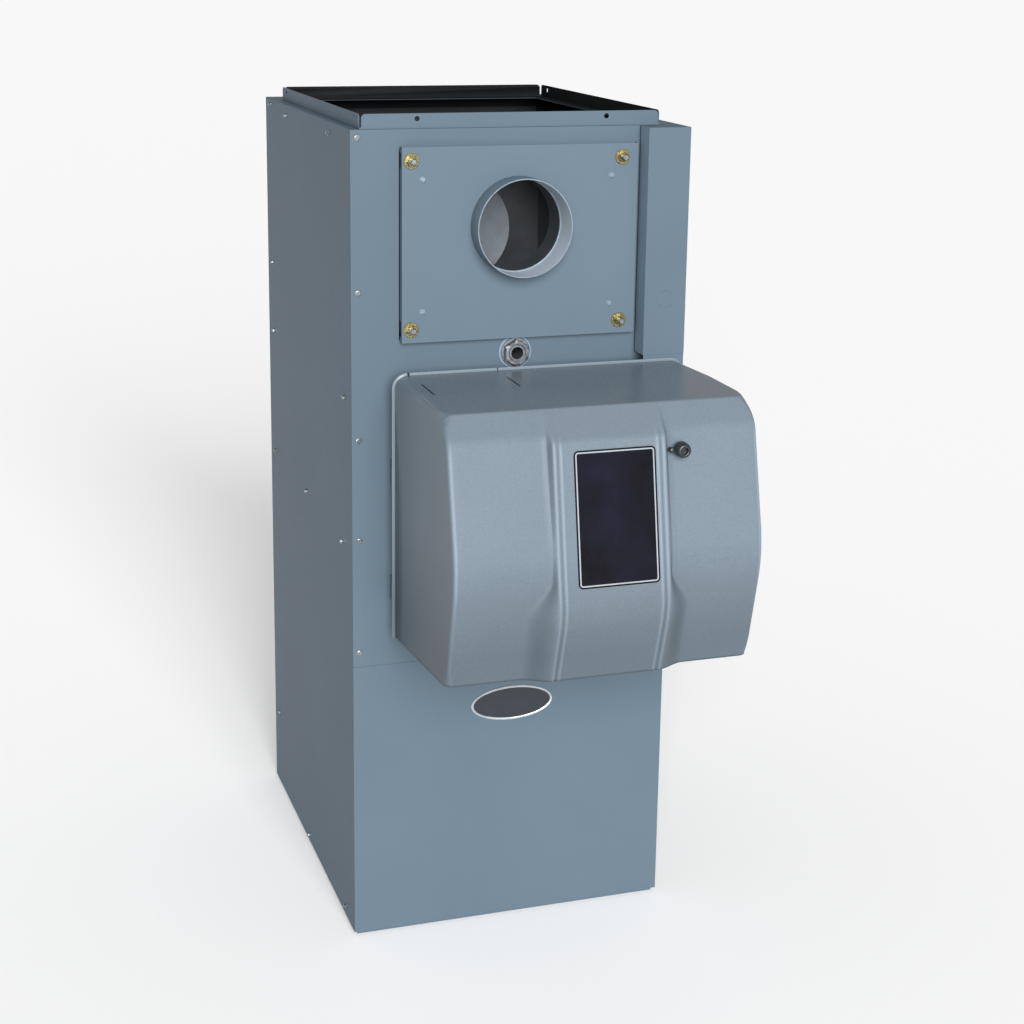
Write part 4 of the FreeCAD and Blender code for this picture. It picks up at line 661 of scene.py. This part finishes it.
# Blower door: a steel tray painted with the cabinet, hung on the bottom of the front, with a folded sill
# behind the seam above it. It carries a blank oval badge, a slightly domed enamel plate in a polished rim.
eased("blower_door", cabinet_paint, 0.5, body="blower_door")
door_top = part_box("blower_door")[1].z
sill_gap, sill_overlap, sill_set_back, sill_depth = 0.15, 0.5, 0.3, 3.0
sill_y = (panel_front + sill_set_back * mm, panel_front + sill_depth * mm)
sill_z = (door_top + sill_gap * mm, front_low.z + sill_overlap * mm)
points = [(x, y, z) for x in (front_low.x, front_high.x) for y in sill_y for z in sill_z]
box_faces = [(0, 1, 3, 2), (4, 6, 7, 5), (0, 4, 5, 1), (2, 3, 7, 6), (0, 2, 6, 4), (1, 5, 7, 3)]
sill = new_mesh("front_panel_sill", points, box_faces, [cabinet_paint])
dress(sill, "upper_front_panel", beside=True)
# Polished aluminium: a bright silver line around the badge.
polished_rim = surface("polished aluminium rim", "#A8ACB0", "#BEC2C5", (0.25, 0.35), 10, 0.8, 0.003,
                       Metallic=0.8)
# Slate enamel: deep blue grey under a clear glassy coat.
enamel = surface("dark slate enamel", "#10161F", "#141B26", (0.14, 0.22), 20, 2.0, 0.003, Coat_Weight=0.5)
badge_low, badge_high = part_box("badge_plate")
badge_middle, badge_half = (badge_low + badge_high) / 2, (badge_high - badge_low) / 2
badge_steps, rim_rows = 96, 5
badge_rings = [(0.0, 0.0), (0.0, 0.7), (0.5, 1.0), (2.6, 1.0), (3.2, 0.75), (3.8, 0.7), (9.0, 0.8),
               (17.0, 0.9), (29.4, 0.95)]
points = []
for inset, height in badge_rings:
    for k in range(badge_steps):
        angle = 2 * pi * k / badge_steps
        points.append((badge_middle.x + (badge_half.x - inset * mm) * cos(angle),
                       badge_high.y - height * 2 * badge_half.y,
                       badge_middle.z + (badge_half.z - inset * mm) * sin(angle)))
faces = ring_faces(len(badge_rings), badge_steps, capped=True)
finishes = [int(i >= rim_rows * badge_steps) for i in range(len(faces) - 1)] + [0]
badge = new_mesh("badge_plate_blank", points, faces, [polished_rim, enamel], finishes)
dress(badge, "badge_plate", "blower_door")


# Burner cover: one deep bonnet moulded in metallic grey plastic, open at the back and below, with a raised
# band down its middle and a lip around its rim. It hangs on two brackets and is held by one knob.

# Metallic plastic: satin grey with a sparkle of flake. Painted highlights lighten the rounded edges, beads
# and lip, painted shade darkens the band's walls, the groove between the beads and the front below the knee,
# where it faces down. It is glossier on the top, which lay on a polished face of the mould.
# The flake is about a tenth of the 2.2 mm drawn to show it. The export keeps one even specular level.
cover_plastic = surface("metallic grey moulded plastic", "#5B666F", "#5D6871", (0.4, 0.46), 90, 2.2, 0.012,
                        Specular_IOR_Level=0.3)
knee_low, knee_high, top_low, top_high = 600, 750, 944, 950
tree = cover_plastic.node_tree
shader = tree.nodes["Principled BSDF"]
plastic_tone, plastic_gloss, plastic_relief = (shader.inputs[name].links[0].from_socket
                                               for name in ("Base Color", "Roughness", "Normal"))
plastic_speck = plastic_relief.node.inputs["Height"].links[0].from_socket
plastic_spot = add(tree, "ShaderNodeTexCoord").outputs["Object"]
plastic_z = add(tree, "ShaderNodeSeparateXYZ", {"Vector": plastic_spot}).outputs["Z"]
at_knee = {"Value": plastic_z, "From Min": knee_low * mm, "From Max": knee_high * mm}
# Painted shade: the plastic's colour is darker below the knee, where the front faces down.
knee_shade = add(tree, "ShaderNodeMapRange", {**at_knee, "To Min": 0.68, "To Max": 1.0})
flake = add(tree, "ShaderNodeMapRange",
            {"Value": plastic_speck, "From Min": 0.3, "From Max": 0.7, "To Min": 0.93, "To Max": 1.07})
# The edge attribute holds painted light: highlights on edges, beads and lip above nought, painted shade
# below.
edge = add(tree, "ShaderNodeAttribute", attribute_name="edge").outputs["Fac"]
painted_light_scale = add(tree, "ShaderNodeMath", {0: edge, 1: 0.55, 2: 1.0}, operation="MULTIPLY_ADD")
bright = add(tree, "ShaderNodeMath", {0: knee_shade.outputs[0], 1: painted_light_scale.outputs[0]}, operation="MULTIPLY")
sparkle = add(tree, "ShaderNodeMath", {0: bright.outputs[0], 1: flake.outputs[0]}, operation="MULTIPLY")
shaded = add(tree, "ShaderNodeVectorMath", {0: plastic_tone, "Scale": sparkle.outputs[0]}, operation="SCALE")
on_top = {"Value": plastic_z, "From Min": top_low * mm, "From Max": top_high * mm}
smoother = add(tree, "ShaderNodeMapRange", {**on_top, "To Min": 1.0, "To Max": 0.6})
sheen = add(tree, "ShaderNodeMapRange", {**on_top, "To Min": 0.14, "To Max": 0.45})
polish = add(tree, "ShaderNodeMath", {0: plastic_gloss, 1: smoother.outputs[0]}, operation="MULTIPLY")
tree.links.new(shaded.outputs["Vector"], shader.inputs["Base Color"])
tree.links.new(sheen.outputs["Result"], shader.inputs["Specular IOR Level"])
tree.links.new(polish.outputs["Value"], shader.inputs["Roughness"])

# The shell is drawn in rows from the rim over the top and down the front. A point is (across, reach from the
# cabinet's front, height, painted light) in millimetres, the painted light being a highlight above nought and
# painted shade below. The lobe is the profile beside the band.
cover_low, cover_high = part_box("burner_cover")
rim_reach = (panel_front - cover_high.y) / mm
lip_stand, lip_depth = 4.0, 5.0
cover_left, cover_right = cover_low.x / mm + lip_stand, cover_high.x / mm - lip_stand
cover_middle = (cover_left + cover_right) / 2
cover_top, cover_bottom = cover_high.z / mm - lip_stand, cover_low.z / mm
lobe_line = [(rim_reach, cover_top), (296.0, cover_top - 1), (325.0, 915.0), (369.0, 729.0), (328.0, 557.0)]
band_line = [(rim_reach, cover_top), (296.0, cover_top - 1), (336.0, 910.0), (380.6, 666.0), (347.0, 557.0)]
lobe_rounds, band_rounds = (6.0, 40.0, 180.0), (6.0, 16.0, 120.0)
row_steps = (26, 6, 10, 10, 40, 14, 30)


def rounded_line(corners, rounds, steps):
    """Points along a line with an arc at each inner corner. Steps counts them on each straight and arc."""
    ends, points, counts = [Vector(c) for c in corners], [], iter(steps)
    start = ends[0]
    for i, radius in enumerate(rounds, 1):
        back, ahead = (ends[i - 1] - ends[i]).normalized(), (ends[i + 1] - ends[i]).normalized()
        half = back.angle(ahead) / 2
        first, last = (ends[i] + side * radius / tan(half) for side in (back, ahead))
        centre = ends[i] + (back + ahead).normalized() * radius / sin(half)
        n = next(counts)
        points += [start.lerp(first, k / n) for k in range(n)]
        n = next(counts)
        sweep = (first - centre).angle_signed(last - centre)
        for k in range(n):
            arm = first - centre
            arm.rotate(Matrix.Rotation(-sweep * k / n, 2))
            points.append(centre + arm)
        start = last
    n = next(counts)
    return points + [start.lerp(ends[-1], k / n) for k in range(n + 1)]


def inset_line(corners, amount):
    """The corners of a profile moved into the cover, each along its mitre."""
    ends = [Vector(c) for c in corners]
    runs = [(b - a).normalized() for a, b in zip(ends, ends[1:])]
    sides = [Vector((r.y, -r.x)) for r in runs]
    moved = [ends[0] + sides[0] * amount]
    for end, one, two in zip(ends[1:], sides, sides[1:]):
        mitre = (one + two).normalized()
        moved.append(end + mitre * (amount / mitre.dot(one)))
    return moved + [ends[-1] + sides[-1] * amount]


def at_height(line, z):
    """The point of a profile's falling front at a height."""
    for a, b in zip(line[::-1], line[-2::-1]):
        if a.y <= z <= b.y:
            return a.lerp(b, (z - a.y) / (b.y - a.y))
    return line[-1]


def hem_height(reach):
    """The cover's lower edge rises from the rim towards the front."""
    (lobe_u, lobe_z), (band_u, band_z) = lobe_line[-1], band_line[-1]
    if reach < lobe_u:
        return cover_bottom + (lobe_z - cover_bottom) * (reach - rim_reach) / (lobe_u - rim_reach)
    return lobe_z + (band_z - lobe_z) * (reach - lobe_u) / (band_u - lobe_u)


def clamped(value, lowest=0.0):
    """A share kept between the lowest value and one."""
    return min(1.0, max(lowest, value))


def smooth(share):
    """A share from nought to one that starts and ends gently."""
    return share * share * (3 - 2 * share)


# The side corners are rounded most at the rim and the crease, less at the hem and least between.
cover_round, edge_round, least_round, hem_share = 20.0, 7.0, 8.0, 0.6
rim_ease, end_ease = 120.0, 36.0
lobe = rounded_line(lobe_line, lobe_rounds, row_steps)
insets = []
for depth in (cover_round, edge_round):
    inner_rounds = [max(r - depth, least_round) for r in lobe_rounds]
    insets.append(rounded_line(inset_line(lobe_line, depth), inner_rounds, row_steps))
crease_start, crease_end, bead_start = (sum(row_steps[:n]) for n in (1, 2, 3))
band_front = rounded_line(band_line, band_rounds, row_steps)
band = [band_front[i] if i <= crease_end else at_height(band_front, point.y) for i, point in enumerate(lobe)]
band_out = []
for i in range(len(band)):
    step = band[min(i + 1, len(band) - 1)] - band[max(i - 1, 0)]
    band_out.append(Vector((-step.y, step.x)).normalized())
run = [0.0]
for a, b in zip(lobe, lobe[1:]):
    run.append(run[-1] + (b - a).length)

# The band stands out between two walls that widen below the knee, with a pair of beads along each edge.
band_half, wall_high, wall_low, widen_top, widen_fall = 86.0, 6.0, 39.0, 715, 60
bead_places, bead_width, bead_rise, bead_fade = (83.0, 73.5), 2.2, 1.0, 30
bead_middle = sum(bead_places) / 2
bead_pitch, flat_from, flat_pitch = 0.9, 66, 4.6
band_places = [band_half - bead_pitch * k for k in range(21)]
band_places += [flat_from - flat_pitch * k for k in range(15)]
band_shift, shift_fade = 1.5, 60
side_columns, corner_columns, lobe_columns, wall_columns = 6, 8, 14, 8
shine_column, shine_spread, shine_low, shine_rise, least_shine = 5.5, 2.5, 640, 80, 0.3
# Painted light on the shell: a highlight down each rounded front corner and on the beads, painted shade on
# the walls and in the groove between the beads.
wall_shade, bead_shine, groove_shade = 0.35, 0.8, 0.3
rows = []
for i, (outside, raised) in enumerate(zip(lobe, band)):
    half_row = []
    from_crease = max(run[crease_start] - run[i], run[i] - run[crease_end], 0.0)
    near_crease, near_hem = (max(0.0, 1 - gap / end_ease) for gap in (from_crease, run[-1] - run[i]))
    soft = max(1 - run[i] / rim_ease, near_crease ** 2, hem_share * near_hem ** 2)
    corner_round = edge_round + (cover_round - edge_round) * soft
    inset = insets[1][i].lerp(insets[0][i], soft)
    inset.x = max(inset.x, rim_reach)
    rim_z = cover_top - cover_round + (cover_bottom - cover_top + cover_round) * run[i] / run[-1]
    left_edge = cover_left - cover_middle
    for k in range(side_columns):
        spot = Vector((rim_reach, rim_z)).lerp(inset, k / side_columns)
        half_row.append((left_edge, spot.x, spot.y, 0.0))
    fade = clamped((run[i] - run[bead_start]) / bead_fade)
    upper = clamped((outside.y - shine_low) / shine_rise, least_shine)
    for k in range(corner_columns):
        angle = pi / 2 * k / corner_columns
        spot = outside.lerp(inset, 1 - sin(angle))
        shine = fade * upper * max(0.0, 1 - abs(k - shine_column) / shine_spread)
        half_row.append((left_edge + corner_round * (1 - cos(angle)), spot.x, spot.y, shine))
    widen = smooth(clamped((widen_top - outside.y) / widen_fall))
    foot = band_half + wall_high + (wall_low - wall_high) * widen
    start = cover_middle - cover_left - corner_round
    for k in range(lobe_columns):
        half_row.append((-(start + (foot - start) * k / lobe_columns), outside.x, outside.y, 0.0))
    for k in range(wall_columns):
        share = k / wall_columns
        spot = outside.lerp(raised, 0.6 * share + 0.4 * smooth(share))
        shade = -wall_shade * fade * sin(pi * share)
        half_row.append((-(foot + (band_half - foot) * share), spot.x, spot.y, shade))
    for place in band_places:
        swell = sum(exp(-((place - b) / bead_width) ** 2) for b in bead_places) * fade
        groove = exp(-((place - bead_middle) / bead_width) ** 2) * fade
        spot = raised + band_out[i] * swell * bead_rise
        half_row.append((-place, spot.x, spot.y, bead_shine * swell - groove_shade * groove))
    row = half_row + [(-x, u, z, shine) for x, u, z, shine in half_row[::-1]]
    if i == len(lobe) - 1:
        row = [(x, u, hem_height(u), shine) for x, u, z, shine in row]
    rows.append(row)
columns = len(rows[0])
points, shines = [], []
for row in rows:
    for x, u, z, shine in row:
        shift = band_shift * max(0.0, 1 - max(0.0, abs(x) - band_half) / shift_fade)
        points.append(((cover_middle + x + shift) * mm, panel_front - u * mm, z * mm))
        shines.append(shine)
faces = [(i * columns + j, (i + 1) * columns + j, (i + 1) * columns + j + 1, i * columns + j + 1)
         for i in range(len(rows) - 1) for j in range(columns - 1)]
shell = new_mesh("burner_cover_moulded", points, faces, [cover_plastic], angle=60)
shell.data.attributes.new("edge", "FLOAT", "POINT").data.foreach_set("value", shines)
bm = bmesh.new()
bm.from_mesh(shell.data)
bmesh.ops.remove_doubles(bm, verts=bm.verts, dist=0.01 * mm)
bm.to_mesh(shell.data)
bm.free()
wall = shell.modifiers.new("wall", "SOLIDIFY")
wall.thickness = 3.0 * mm
wall.offset = -1
dress(settled(shell), "burner_cover", "burner_cover")


# Rim lip of the cover: a small moulded bead around the open back, with a notch at the left and in the middle
# of the top where the cover clips on. Two narrow slots in the top belong to the same clips.
rim_corner, side_steps, turn_steps = cover_top - cover_round, 20, 12
lip_outline = [(cover_left, cover_bottom + (rim_corner - cover_bottom) * k / side_steps, -1.0, 0.0)
               for k in range(side_steps)]
for centre_x, start in ((cover_left + cover_round, pi), (cover_right - cover_round, pi / 2)):
    for k in range(turn_steps + 1):
        angle = start - pi / 2 * k / turn_steps
        out_x, out_z = cos(angle), sin(angle)
        lip_outline.append((centre_x + cover_round * out_x, rim_corner + cover_round * out_z, out_x, out_z))
lip_outline += [(cover_right, rim_corner + (cover_bottom - rim_corner) * k / side_steps, 1.0, 0.0)
                for k in range(1, side_steps + 1)]
lip_root, lip_shine = -2.5, 1.6
lip_section = [(lip_root, 0.0), (2.8, 0.0), (lip_stand, 1.2), (lip_stand, lip_depth - 1.6),
               (2.6, lip_depth - 0.2), (0.6, lip_depth), (lip_root, lip_depth)]
points = [((x + out_x * out) * mm, panel_front - (rim_reach + deep) * mm, (z + out_z * out) * mm)
          for x, z, out_x, out_z in lip_outline for out, deep in lip_section]
faces = ring_faces(len(lip_outline), len(lip_section), capped=True)
rim = new_mesh("burner_cover_lip", points, faces, [cover_plastic], angle=50)
# The outer face of the lip is lightened, a painted highlight.
lip_shines = [lip_shine if out == lip_stand else 0.0 for out, deep in lip_section] * len(lip_outline)
rim.data.attributes.new("edge", "FLOAT", "POINT").data.foreach_set("value", lip_shines)
dress(rim, "burner_cover", "burner_cover", beside=True)
# Shadow in a slot: dull black, as an opening into the unlit inside looks.
slot_shadow = surface("shadowed slot", "#101214", "#15181A", (0.8, 0.9), 10, 1.0, 0.01)
slot_rise, notch_rise, slot_depth = 0.3, lip_stand + 0.2, 1.5
slot_spans = [((-186.0, -184.2), (108.0, 176.0), slot_rise), ((-46.9, -45.1), (92.0, 155.0), slot_rise),
              ((-190.5, -187.5), (44.0, 47.2), notch_rise), ((-47.0, -45.6), (44.0, 46.8), notch_rise)]
open_box = [(4, 5, 6, 7), (0, 1, 5, 4), (1, 2, 6, 5), (2, 3, 7, 6), (3, 0, 4, 7)]
shapes = []
for (x0, x1), (u0, u1), rise in slot_spans:
    shapes.append(([(x * mm, panel_front - u * mm, z * mm) for z in (cover_top - slot_depth, cover_top + rise)
                    for x, u in ((x0, u1), (x1, u1), (x1, u0), (x0, u0))], open_box))
clip_slots = new_mesh("burner_cover_slots", *joined(shapes), [slot_shadow])
dress(clip_slots, "burner_cover", "burner_cover", beside=True)


# Label plate: a printed film with rounded corners on the front of the band, black with a thin pale line
# around a plain dark field.
def rounded_ring(half_x, half_y, radius, steps=8):
    """Points of a rectangle with rounded corners about the origin."""
    points = []
    for quarter, (sx, sy) in enumerate(((1, 1), (-1, 1), (-1, -1), (1, -1))):
        for k in range(steps + 1):
            angle = pi / 2 * (quarter + k / steps)
            points.append((sx * (half_x - radius) + radius * cos(angle),
                           sy * (half_y - radius) + radius * sin(angle)))
    return points


# Black film: smooth ink with a faint gloss.
label_black = surface("black printed film", "#08080A", "#0C0C0E", (0.2, 0.28), 20, 1.0, 0.003,
                      Specular_IOR_Level=0.15)
# Pale print: a light grey line, as smooth as the film.
label_pale = surface("pale print", "#83888E", "#8E9399", (0.2, 0.3), 20, 1.0, 0.003)
# Indigo print: a blue-black field that drifts slowly in tone.
label_indigo = surface("dark indigo print", "#08080C", "#11111E", (0.2, 0.28), 60, 1.0, 0.003,
                       Specular_IOR_Level=0.15)
label_low, label_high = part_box("cover_label_plate")
slope = (Vector(band_line[2]) - Vector(band_line[3])).normalized()
label_up, label_out = Vector((0, -slope.x, slope.y)), Vector((0, -slope.y, -slope.x))
band_foot_u, band_foot_z = band_line[3]
label_foot = Vector(((label_low.x + label_high.x) / 2, panel_front - band_foot_u * mm, band_foot_z * mm))
label_middle = label_foot + label_up * (((label_low.z + label_high.z) / 2 - label_foot.z) / label_up.z)
label_half = (label_high.x - label_low.x) / 2 / mm
label_tall = (label_high.z - label_low.z) / 2 / label_up.z / mm
label_corner, film, line_from, line_to = 7.0, 0.8, 2.4, 4.4
label_rings = [(0.0, 0.0), (0.0, film), (line_from, film), (line_to, film)]
label_finish = (0, 0, 1)
points = []
for inset, height in label_rings:
    for x, z in rounded_ring(label_half - inset, label_tall - inset, label_corner - inset):
        points.append(label_middle + Vector((x, 0, 0)) * mm + label_up * z * mm + label_out * height * mm)
n = len(points) // len(label_rings)
faces = ring_faces(len(label_rings), n, capped=True)
finishes = [row for row in label_finish for k in range(n)] + [2, 0]
label = new_mesh("cover_label_film", points, faces, [label_black, label_pale, label_indigo], finishes)
dress(label, "cover_label_plate", "burner_cover")


# Cover knob: a thumb knob with a hexagon socket and a small ear, moulded in black plastic. It turns on the
# stud that comes through the cover and so holds the cover on.
# Handled plastic: black, rubbed to dark grey in patches, with a soft gloss.
knob_plastic = surface("handled black plastic", "#15181A", "#25292B", (0.3, 0.42), 6, 0.7, 0.02)
knob_low, knob_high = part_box("cover_knob")
knob_radius = (knob_high.z - knob_low.z) / 2 / mm
knob_middle = Vector((knob_high.x - knob_radius * mm, knob_high.y, (knob_low.z + knob_high.z) / 2))
knob_length, knob_bore, socket_half, socket_depth = (knob_high.y - knob_low.y) / mm, 4.3, 5.0, 6
knob_rings = [(knob_bore, 0.0), (knob_radius - 1.5, 0.0), (knob_radius - 0.4, 0.6), (knob_radius, 2.0),
              (knob_radius, 6.0), (knob_radius - 0.5, knob_length - 5),
              (knob_radius - 1.6, knob_length - 1.6), (knob_radius - 3.2, knob_length - 0.2),
              (socket_half + 1.6, knob_length), (socket_half + 0.6, knob_length - 0.4),
              (socket_half, knob_length - 1.2, True),
              (socket_half, knob_length - socket_depth, True), (0.01, knob_length - socket_depth)]
ear_radius, ear_height = 4.0, knob_length / 2
ear_middle = Vector((knob_low.x + ear_radius * mm, knob_high.y, knob_middle.z))
ear_rings = [(0.01, 0.0), (ear_radius, 0.0), (ear_radius, ear_height - 2.2),
             (ear_radius - 0.7, ear_height - 0.6), (ear_radius - 2, ear_height), (0.01, ear_height)]
web_half, web_height, web_length = 2.0, ear_height - 1.5, (knob_middle.x - ear_middle.x) / mm
web_points = [ear_middle + Vector((x, -y, z)) * mm for y in (0, web_height) for x in (0, web_length)
              for z in (-web_half, web_half)]
knob_shape = joined([turned(knob_rings, knob_middle, to_front), turned(ear_rings, ear_middle, to_front, 32),
                     (web_points, box_faces)])
dress(new_mesh("cover_knob_moulded", *knob_shape, [knob_plastic]), "cover_knob", "cover_knob")
